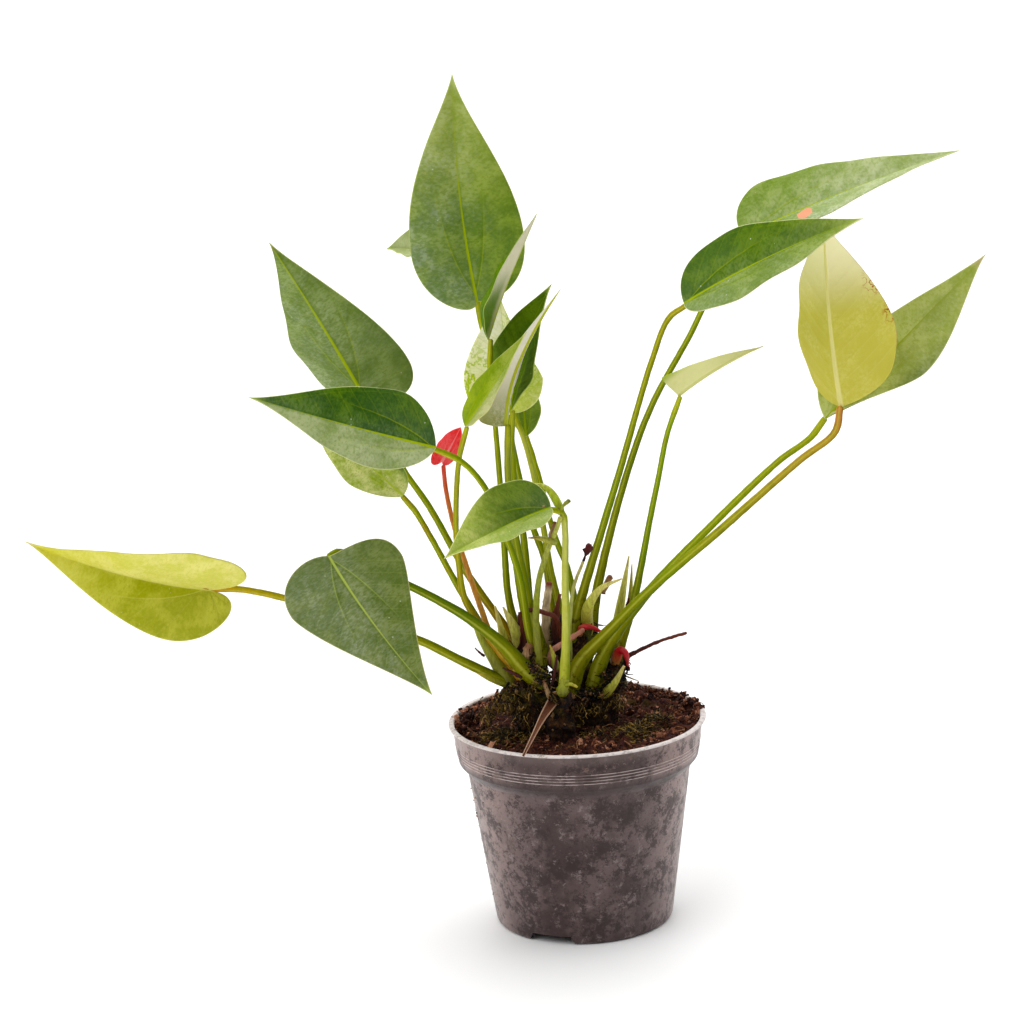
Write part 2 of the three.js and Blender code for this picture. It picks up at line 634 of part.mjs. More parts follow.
// A lathe closed on its axis, with the doubled points there merged and its empty triangles dropped
function latheSolid(lathe) {
  const plain = lathe.clone();
  plain.deleteAttribute("normal");
  plain.deleteAttribute("uv");
  const merged = mergeVertices(plain, 1e-3);
  const index = merged.index.array;
  const kept = [];
  for (let i = 0; i < index.length; i += 3) {
    const face = [index[i], index[i + 1], index[i + 2]];
    if (new Set(face).size === 3) kept.push(face);
  }
  const { count, array } = merged.attributes.position;
  const points = Array.from({ length: count }, (_, i) => new THREE.Vector3().fromArray(array, 3 * i));
  return solidOf(closedSkin(points, kept));
}

function notches() {
  const { count, first, topWidth, footWidth, height, reach } = NOTCHES;
  const shape = new THREE.Shape([
    new THREE.Vector2(-footWidth / 2, -1),
    new THREE.Vector2(footWidth / 2, -1),
    new THREE.Vector2(topWidth / 2, height),
    new THREE.Vector2(-topWidth / 2, height),
  ]);
  return Array.from({ length: count }, (_, i) => {
    const cut = new THREE.ExtrudeGeometry(shape, { depth: 2 * reach, bevelEnabled: false });
    cut.rotateX(Math.PI / 2);
    cut.rotateZ(Math.PI / 2);
    cut.translate(POT.footRadius - reach, 0, 0);
    cut.rotateZ(turned(first + (360 / count) * i));
    return solidOf(cut);
  });
}

function drainHoles() {
  const { count, circle, radius, sides } = DRAIN_HOLES;
  return Array.from({ length: count }, (_, i) => {
    const cut = new THREE.CylinderGeometry(radius, radius, 4 * POT.floor, sides).rotateX(Math.PI / 2);
    const angle = (2 * Math.PI * (i + 0.5)) / count;
    cut.translate(circle * Math.cos(angle), circle * Math.sin(angle), 0);
    return solidOf(cut);
  });
}

// The soil: a plug of the pot's inside with an uneven top
function soilHeight(x, y) {
  const wave = (sum, w) => sum + w.height * Math.sin(w.x * x + w.y * y + w.phase);
  return SOIL.level + SOIL.rise * y + SOIL.relief * SOIL_WAVES.reduce(wave, 0);
}

function soilBlock() {
  const { gap, rings, level, dip } = SOIL;
  const { sides } = POT;
  const walls = innerWall().slice(0, -1).map(([radius, z]) => [radius - gap, z + gap]);
  const topRadius = innerRadiusAt(level - dip) - gap;
  const points = [new THREE.Vector3(0, 0, walls[0][1])];
  const ring = (radius, heightAt) => {
    for (let k = 0; k < sides; k += 1) {
      const angle = (2 * Math.PI * k) / sides;
      const [x, y] = [radius * Math.cos(angle), radius * Math.sin(angle)];
      points.push(new THREE.Vector3(x, y, heightAt(x, y)));
    }
  };
  walls.forEach(([radius, z]) => ring(radius, () => z));
  for (let i = rings; i >= 1; i -= 1) ring((topRadius * i) / rings, soilHeight);
  points.push(new THREE.Vector3(0, 0, soilHeight(0, 0)));
  const triangles = [];
  const last = 1 + (walls.length + rings - 1) * sides;
  for (let k = 0; k < sides; k += 1) {
    const next = (k + 1) % sides;
    triangles.push([0, 1 + next, 1 + k]);
    for (let low = 1; low < last; low += sides) {
      const high = low + sides;
      triangles.push([low + k, low + next, high + next], [low + k, high + next, high + k]);
    }
    triangles.push([last + k, last + next, points.length - 1]);
  }
  return closedSkin(points, triangles);
}

// The rhizome: its limbs joined, with plain holes where stalks and roots stand in it
function rhizomeLimb({ places, girth }, grow = 0) {
  const { sides, step, ringPitch, ringRelief } = RHIZOME_LIMB;
  const route = places.map(seen);
  const length = new THREE.CatmullRomCurve3(route).getLength();
  const ripple = (t) => 1 + ringRelief * Math.cos((2 * Math.PI * t * length) / ringPitch);
  return limb(route, (t) => taper(...girth)(t) * ripple(t), { sides, step, grow });
}

function pieceLimb({ places, girth }, grow = 0) {
  return limb(places.map(seen), taper(...girth), { step: PIECE_STEP, grow });
}

function mesh(name, geometry, look) {
  const [color, roughness] = LOOKS[look];
  const part = new THREE.Mesh(geometry, new THREE.MeshStandardMaterial({ color, roughness, metalness: 0 }));
  part.name = name;
  return part;
}

function joined(geometries) {
  return geometries.map(solidOf).reduce((whole, next) => whole.add(next));
}

const sockets = () => [
  ...LEAVES.map((leaf) => stalk(leaf, CLEARANCE)),
  ...PIECES.map((piece) => pieceLimb(piece, CLEARANCE)),
];

function rhizomeGeometry(holes) {
  return geometryOf(joined(RHIZOME.map((part) => rhizomeLimb(part))).subtract(holes));
}

function soilGeometry(holes) {
  const rhizome = joined(RHIZOME.map((part) => rhizomeLimb(part, CLEARANCE)));
  return geometryOf(solidOf(soilBlock()).subtract(rhizome).subtract(holes));
}

function plant() {
  const group = new THREE.Group();
  const holes = joined(sockets());
  group.add(mesh("pot", potGeometry(), "pot"));
  group.add(mesh("soil", soilGeometry(holes), "soil"));
  group.add(mesh("rhizome", rhizomeGeometry(holes), "rhizome"));
  for (const leaf of LEAVES) {
    group.add(mesh(`leaf_${leaf.name}`, blade(leaf), BLADE_LOOKS[leaf.name] ?? "leaf"));
    group.add(mesh(`stalk_${leaf.name}`, stalk(leaf), "stalk"));
  }
  for (const piece of PIECES) group.add(mesh(piece.name, pieceLimb(piece), piece.look));
  group.add(mesh(SPATHE.name, blade(SPATHE), "spathe"));
  return group;
}

export default plant();
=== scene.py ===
import math
import random
from functools import reduce

import bmesh
import bpy
import numpy as np
from mathutils import Matrix, Vector, noise


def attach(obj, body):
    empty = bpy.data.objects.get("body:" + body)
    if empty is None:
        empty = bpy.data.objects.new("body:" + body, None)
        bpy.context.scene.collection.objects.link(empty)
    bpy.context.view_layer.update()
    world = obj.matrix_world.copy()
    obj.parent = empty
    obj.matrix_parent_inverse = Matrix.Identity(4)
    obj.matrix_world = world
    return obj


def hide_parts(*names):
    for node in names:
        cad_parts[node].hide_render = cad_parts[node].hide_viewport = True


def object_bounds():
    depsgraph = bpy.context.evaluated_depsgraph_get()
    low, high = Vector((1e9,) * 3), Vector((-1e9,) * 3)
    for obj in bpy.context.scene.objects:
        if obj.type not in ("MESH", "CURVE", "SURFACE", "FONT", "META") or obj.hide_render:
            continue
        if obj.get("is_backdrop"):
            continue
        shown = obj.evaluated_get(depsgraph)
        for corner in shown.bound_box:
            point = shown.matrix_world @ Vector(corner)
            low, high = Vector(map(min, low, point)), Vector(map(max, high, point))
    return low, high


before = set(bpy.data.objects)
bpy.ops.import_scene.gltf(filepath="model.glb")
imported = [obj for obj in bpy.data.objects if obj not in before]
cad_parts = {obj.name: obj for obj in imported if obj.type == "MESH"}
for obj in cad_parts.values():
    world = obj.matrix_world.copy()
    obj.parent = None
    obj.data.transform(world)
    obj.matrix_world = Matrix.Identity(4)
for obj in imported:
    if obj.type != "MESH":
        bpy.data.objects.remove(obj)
cad_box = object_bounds()

MM = 0.001

# Driving dimensions, as in the part's source
POT = dict(
    height=97, lip_radius=60, lip_height=1.5, collar_top_radius=58.4, collar_foot_radius=56,
    collar_foot=79, shoulder_radius=52.1, shoulder=74.4, foot_radius=41.7, foot_round=1.6,
    wall=1.1, floor=5, recess=3, disc_radius=9, ring_width=3.4, edge=0.5, sides=216,
)
COLLAR_RINGS = dict(count=4, first=82.1, pitch=1.45, height=0.8, relief=0.35)
NOTCHES = dict(count=3, first=-114, top_width=19, foot_width=24, height=4.2, reach=8)
DRAIN_HOLES = dict(count=6, circle=27, radius=4, sides=28)
SOIL = dict(level=92.6, gap=0.35, relief=1.1, rise=0.04, dip=3, heap=1.6, sides=200, rings=62)
SOIL_WAVES = (
    dict(height=0.5, x=0.31, y=0.27, phase=1.3),
    dict(height=0.5, x=0.31, y=-0.27, phase=1.3),
    dict(height=0.6, x=0.63, y=-0.5, phase=0),
    dict(height=0.5, x=0.4, y=0.9, phase=1.6),
)
BLADE = dict(
    thickness=0.55, rows=108, columns=22, foot_power=1.7, lobe_share=0.38, neck_place=0.79,
    solid_thickness=0.8,
)
STALK = dict(
    sides=20, step=2.6, sheath_length=26, body_share=1.5, seat=0.2, sunk=0.45, heel=4, flat=0.55, rough=0.09,
)
VIEW = dict(centre=512, focal=3000, pitch=13.3, roll=-2.6, distance=1420, foot=(585, 912.5), width=1024)

# Places in the tables are (pixel x, pixel y, millimetres behind the pot's axis).
# Pairs hold the half to the left of the midrib first. The part's source says what each value means.
LEAF = dict(face=1, neck=(0.15, 0.15), notch=(0.3, 0.3))
LEAVES = [{**LEAF, **row} for row in (
    dict(
        name="top", base=(477, 301, 24), middle=(459, 190, 28), tip=(452, 73, 20), width=(26, 27),
        belly=(0.25, 0.27), lobe=(9, 4), heel=(-1, -2), notch=(0.05, 0.3), full=(0.45, 0.45), lift=(20, 20),
        curl=-24, girth=(2.1, 1.2),
        stalk=(
            (538, 672, 10), (533, 645, 13), (524, 540, 24), (514, 478, 28), (509, 412, 31), (497, 368, 32),
            (483, 331, 30),
        ),
    ),
    dict(
        name="top_rear", base=(452, 264, 40), middle=(424, 252, 54), tip=(386, 249, 66), width=(15, 18),
        belly=(0.3, 0.4), lobe=(4, 4), heel=(0, 0), full=(0.6, 0.6), lift=(76, -10), curl=-16,
        girth=(2.1, 1.1),
        stalk=(
            (560, 676, 15), (556, 648, 18), (545, 561, 26), (534, 530, 30), (520, 480, 36), (508, 420, 42),
            (497, 350, 45), (480, 300, 45), (464, 276, 43),
        ),
    ),
    dict(
        name="left_upper", base=(362, 393, 6), middle=(317, 317, -2), tip=(268, 241, -12), width=(26, 26),
        belly=(0.29, 0.03), lobe=(3, 15), heel=(0, 13), full=(0.28, 0.3), neck=(0.02, 0.12), lift=(-40, 8),
        curl=-18, girth=(2.1, 1.2),
        stalk=((526, 662, 5), (506, 629, 5), (465, 570, 8), (430, 508, 9), (402, 467, 10), (378, 420, 10)),
    ),
    dict(
        name="left_middle", base=(436, 448, -30), middle=(352, 427, -40), tip=(247, 397, -48),
        width=(18, 22.5), belly=(0.43, 0.3), lobe=(-3, -1), heel=(-14, -7), full=(0.32, 0.4),
        neck=(0.02, 0.15), lift=(42, -12), curl=-20, girth=(2, 1.2),
        stalk=(
            (541, 684, -4), (541, 665, -7.5), (530, 636, -9), (520, 578, -13), (509, 544, -16),
            (487, 491, -22), (462, 462, -27),
        ),
    ),
    dict(
        name="left_rear", base=(403, 496, -6), middle=(360, 458, -2), tip=(305, 410, -4), width=(14.5, 10.5),
        belly=(0.45, 0.3), lobe=(-1, 0), heel=(-16, -2), full=(0.5, 0.5), lift=(42, 10), curl=-16,
        girth=(2.1, 1.2),
        stalk=((526, 684, 1), (508, 663, 5), (485, 631, 3), (460, 590, 0), (430, 536, -4), (415, 511, -5)),
    ),
    dict(
        name="far_left", base=(209, 590, -22), middle=(116, 573, -30), tip=(23.5, 541, -34), width=(25, 27.5),
        belly=(0.15, 0.1), lobe=(24, 24), heel=(4, 15), notch=(0.05, 0.3), full=(0.3, 0.4), neck=(0.05, 0.1),
        lift=(6, 60), curl=-10, girth=(2.3, 1.4),
        stalk=(
            (522, 692, -6), (495, 677, -8), (460, 660, -12), (421, 641, -14), (350, 616, -16),
            (284, 598, -18), (245, 590, -20),
        ),
    ),
    dict(
        name="hanging", base=(329, 556, -42), middle=(374, 624, -52), tip=(433, 696, -56), width=(28, 28.5),
        belly=(0.24, 0.2), lobe=(-2, 6), heel=(1, 3), full=(0.2, 0.16), neck=(0.15, 0.1), lift=(8, 8),
        curl=-14, girth=(4.6, 1.4),
        stalk=(
            (544, 682, -12), (526, 670, -15), (504, 646, -16), (471, 620, -18), (430, 596, -22),
            (385, 574, -26), (350, 556, -32), (337, 552, -37),
        ),
    ),
    dict(
        name="right_top", base=(744, 236, 20), middle=(850, 190, 14), tip=(960, 150, 8), width=(26, 27),
        belly=(0.18, 0.3), lobe=(3, 3), heel=(1, 1), full=(0.3, 0.3), lift=(-36, 79), curl=-10,
        girth=(2.8, 1.2),
        stalk=(
            (590, 645, 13), (597, 590, 14), (628, 470, 18), (652, 405, 19), (690, 335, 20), (712, 290, 20),
        ),
    ),
    dict(
        name="right_middle", base=(684, 304, -14), middle=(772, 256, -24), tip=(864, 218, -34),
        width=(23, 23), belly=(0.3, 0.36), lobe=(0, 0), heel=(-3, -6), full=(0.26, 0.45), lift=(-28, 66),
        curl=-10, girth=(2.8, 1.2),
        stalk=((574, 642, 8), (578, 612, 6), (604, 523, 0), (620, 470, -2), (652, 360, -8), (669, 318, -11)),
    ),
    dict(
        name="right_yellow", base=(841, 407, -6), middle=(830, 322, -10), tip=(824, 222, -12),
        width=(27, 31.5), belly=(0.38, 0.33), lobe=(-1, -1), heel=(-3, -3), full=(0.6, 0.45),
        neck=(0.3, 0.25), lift=(-58, -8), curl=-14, face=-1, girth=(4.6, 1.5),
        stalk=(
            (567, 700, -6), (572, 682, -9), (580, 662, -10), (609, 631, -10), (652, 588, -8), (720, 530, -7),
            (800, 460, -7), (835, 432, -8),
        ),
    ),
    dict(
        name="far_right", base=(825, 419, 18), middle=(905, 337, 26), tip=(987, 253, 30), width=(19, 18.5),
        belly=(0.19, 0.46), lobe=(-1, -20), heel=(-7, -38), full=(0.3, 0.35), neck=(0.15, 0.08),
        lift=(25, 16), curl=-16, girth=(3.8, 1.4),
        stalk=((592, 690, 0), (604, 654, 2), (649, 591, 4), (720, 517, 8), (780, 460, 13), (810, 438, 16)),
    ),
    dict(
        name="front_small", base=(551, 508, -38), middle=(500, 529, -44), tip=(443.5, 559, -54),
        width=(18.5, 19), belly=(0.36, 0.36), lobe=(1, 2), heel=(-2, -1), full=(0.4, 0.4), lift=(74, -8),
        curl=-10, girth=(2.2, 1.3),
        stalk=((563, 697, -18), (566, 640, -22), (565, 580, -28), (565, 530, -33), (562, 513, -36)),
    ),
    dict(
        name="folded", base=(488, 340, 0), middle=(505, 287, -5), tip=(537, 213, -14), width=(17, 17),
        belly=(0.32, 0.5), lobe=(-3, -8), heel=(-8, -22), full=(0.3, 0.45), lift=(-58, 112), curl=-10,
        girth=(2.1, 1.1),
        stalk=(
            (529, 674, 12), (523, 648, 13), (509, 600, 12), (504, 541, 9), (500, 482, 4), (495, 423, -2),
            (490, 372, -2),
        ),
    ),
    dict(
        name="netted", base=(513, 413, 20), middle=(506, 352, 24), tip=(499, 292, 26), width=(21, 17),
        belly=(0.28, 0.26), lobe=(3, 1), heel=(0, -2), full=(0.35, 0.04), neck=(0.15, 0.02), lift=(10, 34),
        curl=-16, girth=(2.1, 1.1),
        stalk=(
            (571, 676, 13), (569, 648, 15), (551, 571, 17), (543, 525, 18), (535, 482, 19), (524, 440, 20),
        ),
    ),
    dict(
        name="dark", base=(511, 412, 4), middle=(524, 350, 1), tip=(552, 283, -5), width=(15, 15),
        belly=(0.42, 0.42), lobe=(1, -6), heel=(-4, -20), full=(0.35, 0.35), neck=(0.15, 0.05),
        lift=(-20, 66), curl=-12, girth=(2, 1.1),
        stalk=((534, 655, 5), (520, 590, 7), (514, 540, 8), (514, 478, 8), (512, 440, 6)),
    ),
    dict(
        name="young", base=(465, 427, -22), middle=(492, 388, -22), tip=(527, 331, -22), width=(9.8, 9),
        belly=(0.4, 0.35), lobe=(-2, -2), heel=(-6, -5), full=(0.4, 0.4), lift=(-28, 72), curl=-14,
        girth=(1.9, 1.1),
        stalk=(
            (522, 681, -8), (513, 667, -9), (500, 652, -10), (482, 627, -11.5), (465, 600, -13),
            (459, 566, -15), (456, 530, -17), (459, 460, -20),
        ),
    ),
    dict(
        name="grey", base=(506, 426, -12), middle=(519, 362, -14), tip=(562, 287, -18), width=(13, 11),
        belly=(0.04, 0.25), lobe=(1, 1), heel=(0, -2), full=(0, 0.05), neck=(0.02, 0.02), lift=(-14, -82),
        curl=-8, face=-1, girth=(2.6, 1.4),
        stalk=((546, 664, 2), (530, 606, 0), (521, 565, -2), (516, 540, -4), (508, 478, -8)),
    ),
    dict(
        name="rear_lobe", base=(526, 437, 38), middle=(522, 395, 38), tip=(513, 345, 38), width=(7, 9),
        belly=(0.4, 0.35), lobe=(-2, -2), heel=(-6, -8), full=(0.45, 0.45), lift=(20, 36), curl=-10,
        girth=(2.1, 1.1),
        stalk=(
            (580, 676, 16), (581, 648, 19), (568, 570, 26), (558, 545, 29), (550, 520, 32), (540, 480, 35),
        ),
    ),
    dict(
        name="right_small", base=(679, 396, -4), middle=(722, 366, -8), tip=(764, 346, -10), width=(12, 12),
        belly=(-0.04, 0.2), lobe=(1, 3), heel=(3, 0), full=(0.05, 0.2), neck=(0.05, 0.15), lift=(-14, -100),
        curl=-8, face=-1, girth=(2.8, 1.1),
        stalk=((616, 674, 11), (618, 654, 14), (634, 600, 12), (650, 519, 7), (658, 480, 4), (667, 435, 0)),
    ),
)]
SPATHE = dict(
    LEAF, name="spathe", base=(442, 462, -14), middle=(452, 445, -14), tip=(461, 427, -13),
    width=(6.7, 4.5), belly=(0.2, 0.3), lobe=(6, 2), heel=(4.5, 0),
    full=(0.5, 0.5), neck=(0.6, 0.6), lift=(-10, 30), curl=-30,
)

# Half widths at foot and tip, places
RHIZOME = (
    ((9, 5.4), ((552, 745, -6), (542, 702, -2), (530, 674, 0), (522, 652, 1))),
    ((10, 4), ((572, 745, 2), (570, 690, 4), (562, 648, 8), (559, 618, 10))),
    ((10, 5.4), ((592, 745, 4), (604, 700, 6), (613, 676, 8), (617, 656, 9))),
    ((9, 4.4), ((578, 740, 6), (580, 680, 8), (583, 645, 9), (584, 622, 9))),
    ((7, 3.6), ((538, 745, -8), (520, 706, -8), (506, 691, -8))),
    ((8, 4.2), ((562, 745, -14), (562, 712, -16), (563, 696, -17))),
    ((7.5, 4.6), ((548, 740, -6), (534, 706, -7), (521, 682, -6))),
    ((8.5, 5), ((556, 740, 4), (545, 702, 8), (533, 664, 10))),
    ((9, 6), ((572, 738, 8), (570, 702, 12), (568, 668, 14))),
)

# Name, look, half widths at foot and tip, places
PIECES = (
    ("peduncle_red", "peduncle", (1.5, 1), (
        (512, 676, -4), (493, 640, -4.5), (478, 600, -6), (454, 526, -11), (446, 490, -14),
        (443.4, 466.3, -14.8),
    )),
    ("dry_flower_stalk", "youngStalk", (1.2, 0.7), (
        (569, 676, 2), (570, 656, 0), (570, 620, -2), (574, 586, -3), (583, 562, -4),
    )),
    ("dry_flower", "maroon", (0.8, 1.6), ((583.4, 561, -4), (586, 554, -4), (589, 546, -4))),
    ("bare_stalk", "stalk", (1.8, 1), (
        (539, 664, -13), (536, 620, -18), (539, 580, -25), (549, 547, -31), (557, 528, -37), (560, 518, -39),
    )),
    ("root_right", "root", (1.1, 0.7), ((616, 662, 7), (640, 650, 6), (660, 641, 4), (686, 633, 2))),
    ("root_bridge", "root", (1.3, 1), (
        (526, 650, 4), (521, 630, 3), (521, 614, 0), (532, 610, -4.9), (545, 613, -5), (556, 618, -2),
        (561, 640, 3),
    )),
    ("root_pink", "pinkRoot", (1.4, 1.1), (
        (560, 674, 2), (550, 661, -6.5), (552, 651, -10.5), (567, 641, -10), (583, 630, -6),
    )),
    ("root_tip_rear", "redTip", (1.1, 1.1), ((580, 634, 4), (581, 628, 0), (591, 627, -2), (603, 633, -3))),
    ("root_tip_right", "redTip", (2, 1.2), (
        (615, 661, 5), (620, 650.5, 0), (625.5, 653, -3), (628, 666, -4),
    )),
    ("sheath_dry", "drySheath", (2.2, 0.9), (
        (552, 702, -18), (542, 718, -30), (532, 738, -44), (523, 756, -60),
    )),
    ("sheath_left_outer", "greenSheath", (2.2, 0.6), ((511, 666, 0), (504, 640, -0.5), (495, 606, -3))),
    ("sheath_left_inner", "greenSheath", (3.3, 0.5), ((525, 654, -1), (516, 632, -2), (503, 607, -4))),
    ("sheath_right", "greenSheath", (2.6, 0.5), ((615, 650, 19), (620, 610, 18), (629, 556, 18))),
    ("sheath_curved", "greenSheath", (2.8, 0.5), (
        (588, 636, 7), (587, 618, 3), (591, 604, -1), (602, 589, -4), (622, 579, -6),
    )),
    ("sheath_low_right", "greenSheath", (1.9, 0.7), ((602, 698, -2), (614, 684, -7), (624, 666, -10))),
    ("sheath_pale", "paleSheath", (2.3, 1.6), ((548, 655, 8), (546, 610, 9), (549, 584, 10))),
    ("leaf_unrolling", "youngLeaf", (1.5, 0.9), (
        (561.5, 511.5, -35.3), (557, 502, -34), (550, 491, -32), (542, 485, -31), (534, 484, -30),
    )),
)

# Small scraps between the stalks: look, half widths at foot and tip, bend of the strip in degrees
# (0 for a solid bit), places
SCRAPS = (
    ("papery", (1.9, 1.2), 60, ((511, 653, -6), (510, 646, -7), (508, 641, -8))),
    ("papery", (1.7, 0.7), -70, ((521, 652, -3), (524, 636, -3), (519, 612, -2))),
    ("papery", (2.2, 0.9), 80, ((558, 644, 2), (556, 618, 0), (560, 594, 0))),
    ("papery", (1.3, 0.5), -60, ((630, 618, 14), (627, 609, 14), (629, 598, 14))),
    ("papery", (1.2, 0.8), 50, ((502, 700, -10), (497, 695, -11), (498, 689, -12))),
    ("foot", (0.7, 0.5), 0, ((562, 520, -37), (561, 514, -37), (558, 508, -37))),
    ("foot", (0.35, 1.0), 0, ((560, 511, -37), (564, 505, -37), (569, 501, -37))),
    ("bud", (1.4, 0.3), 80, ((557, 543, -35), (547, 540, -36), (537, 538, -36), (528, 538, -36))),
    ("stub", (1.1, 1.0), 0, ((550, 541, -34), (552, 531, -34), (555, 523, -34))),
    ("stub", (2.6, 1.9), 0, ((524, 668, -13), (525, 658, -13), (529, 646, -12))),
    ("stub", (1.5, 1.4), 0, ((603, 592, 3), (607, 583, 3), (610, 577, 3))),
    ("stub", (1.1, 0.8), 0, ((550, 700, -19), (547, 690, -20), (544, 681, -19))),
    ("spike", (1.5, 0.3), 70, ((557, 670, -15), (554, 658, -15), (550, 645, -15))),
    ("spike", (1.5, 0.3), 70, ((624, 632, 17), (630, 600, 17), (632, 564, 17))),
    ("spike", (1.2, 0.5), 0, ((566, 685, -21), (571, 684, -23), (577, 687, -24))),
    ("foot", (2.1, 2.7), 0, ((564, 680, -19), (563, 686, -20), (562, 693, -20))),
    ("orange", (1.5, 0.8), 75, ((507, 685, -9), (488, 677, -11), (466, 665, -11))),
    ("broad", (3.3, 1.0), 75, ((516, 692, -9), (500, 668, -8), (481, 636, -8), (468, 604, -10))),
    ("darkRed", (0.9, 0.5), 0, ((552, 684, -17), (555, 670, -17), (557, 656, -16))),
    ("darkRed", (1.0, 0.4), 0, ((521, 677, -17), (511, 672, -17), (503, 668, -16))),
    ("darkRed", (0.6, 0.3), 0, ((484, 656, -3), (478, 651, -3), (475, 648, -3))),
)

# Loose bits: pixel x, pixel y, depth, spread in millimetres and number of grains or strands
CROWN_CLODS = (
    (547, 676, -11, 1.9, 110), (535, 668, -20, 1.6, 80), (541, 680, -18, 2.0, 90), (531, 656, -12, 1.5, 50),
    (552, 694, -18, 1.8, 60), (583, 696, -10, 2.0, 90), (597, 694, -5, 1.8, 70), (607, 676, -1, 2.2, 90),
    (572, 664, 2, 1.8, 60), (515, 690, -12, 1.8, 60), (618, 684, 2, 1.8, 60),
)
MOSS_HANGS = (
    (500, 703, -14, 2.2, 90), (488, 712, -16, 2.2, 80), (512, 706, -18, 2.2, 50), (520, 716, -20, 2.4, 30),
    (578, 708, -16, 2.4, 30), (600, 708, -10, 2.2, 40), (618, 700, -4, 1.8, 40), (528, 690, -20, 1.6, 30),
)
MOSS_BEDS = (
    (500, 712, -12, 13, 420), (489, 724, -18, 9, 200), (634, 729, -14, 14, 620), (655, 718, 0, 11, 280),
    (592, 708, -16, 10, 90), (524, 716, -18, 8, 60),
)
# The same, with the height in place of the depth
RIM_CLODS = (
    (700, 706, 97.4, 1, 60), (694, 701, 97.4, 1, 50), (684, 695, 97.2, 1.2, 60), (474, 713, 95.5, 1.4, 40),
)


# Colours

GLOSS = 0.02
DIFFUSE_SHARE = 0.88


def tone(red, green, blue):
    """The base colour, in Blender's linear light, that shows up as about this screen colour, 0 to 255."""
    def linear(value):
        value /= 255
        light = value / 12.92 if value <= 0.04045 else ((value + 0.055) / 1.055) ** 2.4
        return min(max((light - GLOSS) / DIFFUSE_SHARE, 0.002), 0.96)
    return (linear(red), linear(green), linear(blue), 1)


# Camera

def view_axes():
    pitch, roll = math.radians(VIEW["pitch"]), math.radians(VIEW["roll"])
    forward = np.array([0, math.cos(pitch), -math.sin(pitch)])
    level_right = np.array([1.0, 0, 0])
    level_up = np.cross(level_right, forward)
    right = math.cos(roll) * level_right + math.sin(roll) * level_up
    up = -math.sin(roll) * level_right + math.cos(roll) * level_up
    return right, up, forward


RIGHT, UP, FORWARD = view_axes()
TO_EYE = -FORWARD


def ray(px, py):
    """The way from the camera through a pixel."""
    centre, focal = VIEW["centre"], VIEW["focal"]
    return FORWARD + RIGHT * (px - centre) / focal - UP * (py - centre) / focal


EYE = -VIEW["distance"] * ray(*VIEW["foot"])


def seen(place):
    """The point of the frame, in millimetres, that the photograph shows at a pixel, at a given depth."""
    px, py, depth = place
    way = ray(px, py)
    return EYE + way * (depth - EYE[1]) / way[1]


def seen_level(px, py, height):
    """The point at a given height that the photograph shows at a pixel."""
    way = ray(px, py)
    return EYE + way * (height - EYE[2]) / way[2]


def linked(name, data):
    """A new object of the scene."""
    thing = bpy.data.objects.new(name, data)
    bpy.context.scene.collection.objects.link(thing)
    return thing


def make_camera():
    data = bpy.data.cameras.new("photo_camera")
    data.lens = data.sensor_width * VIEW["focal"] / VIEW["width"]
    camera = linked("photo_camera", data)
    rows = np.eye(4)
    rows[:3, 0], rows[:3, 1], rows[:3, 2], rows[:3, 3] = RIGHT, UP, TO_EYE, EYE * MM
    camera.matrix_world = Matrix(rows.tolist())
    bpy.context.scene.camera = camera


# Meshes

def unit(vectors):
    return vectors / np.maximum(np.linalg.norm(vectors, axis=-1, keepdims=True), 1e-9)


def around(sides):
    """The angles of the sides of a round form."""
    return np.linspace(0, 2 * math.pi, sides, endpoint=False)


def polar(radius, turn):
    return radius * math.cos(turn), radius * math.sin(turn)


class Skin:
    """Points in millimetres, faces and values at the points, gathered from several forms into one mesh."""

    def __init__(self):
        self.points = []
        self.faces = []
        self.values = []
        self.count = 0

    def add(self, points, faces, **values):
        self.faces += [tuple(int(i) + self.count for i in face) for face in faces]
        self.points.append(np.asarray(points, float))
        shape = (len(points), 3)
        self.values.append({name: np.broadcast_to(value, shape) for name, value in values.items()})
        self.count += len(points)

    def piece(self, name, material, slot, node=None, smooth=True):
        """A piece on the part's one body, with the node that it stands for; its slot is not used."""
        mesh = bpy.data.meshes.new(name)
        mesh.from_pydata((np.vstack(self.points) * MM).tolist(), [], self.faces)
        for key in sorted(set().union(*self.values)):
            parts = [v.get(key, np.zeros((len(form), 3))) for v, form in zip(self.values, self.points)]
            field = mesh.attributes.new(key, "FLOAT_VECTOR", "POINT")
            field.data.foreach_set("vector", np.vstack(parts).astype(np.float32).ravel())
        mesh.polygons.foreach_set("use_smooth", [smooth] * len(mesh.polygons))
        mesh.materials.append(material)
        piece = linked(name, mesh)
        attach(piece, "root")
        if node:
            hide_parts(node)
        return piece


def bake(piece):
    """Gives a piece the shape that its modifiers make of it."""
    bpy.context.view_layer.update()
    shaped = bpy.data.meshes.new_from_object(piece.evaluated_get(bpy.context.evaluated_depsgraph_get()))
    piece.modifiers.clear()
    piece.data = shaped
    return shaped


def closed_faces(rings, sides):
    """The faces of a closed form: a first point, rings of points and a last point."""
    last = 1 + rings * sides
    faces = []
    for k in range(sides):
        after = (k + 1) % sides
        faces.append((0, 1 + after, 1 + k))
        for low in range(1, last - sides, sides):
            faces.append((low + k, low + after, low + sides + after, low + sides + k))
        faces.append((last - sides + k, last - sides + after, last))
    return faces


def travelled(route):
    """The length of a route up to each of its points."""
    return np.concatenate([[0], np.cumsum(np.linalg.norm(np.diff(route, axis=0), axis=1))])


CURVE_SAMPLES = 40


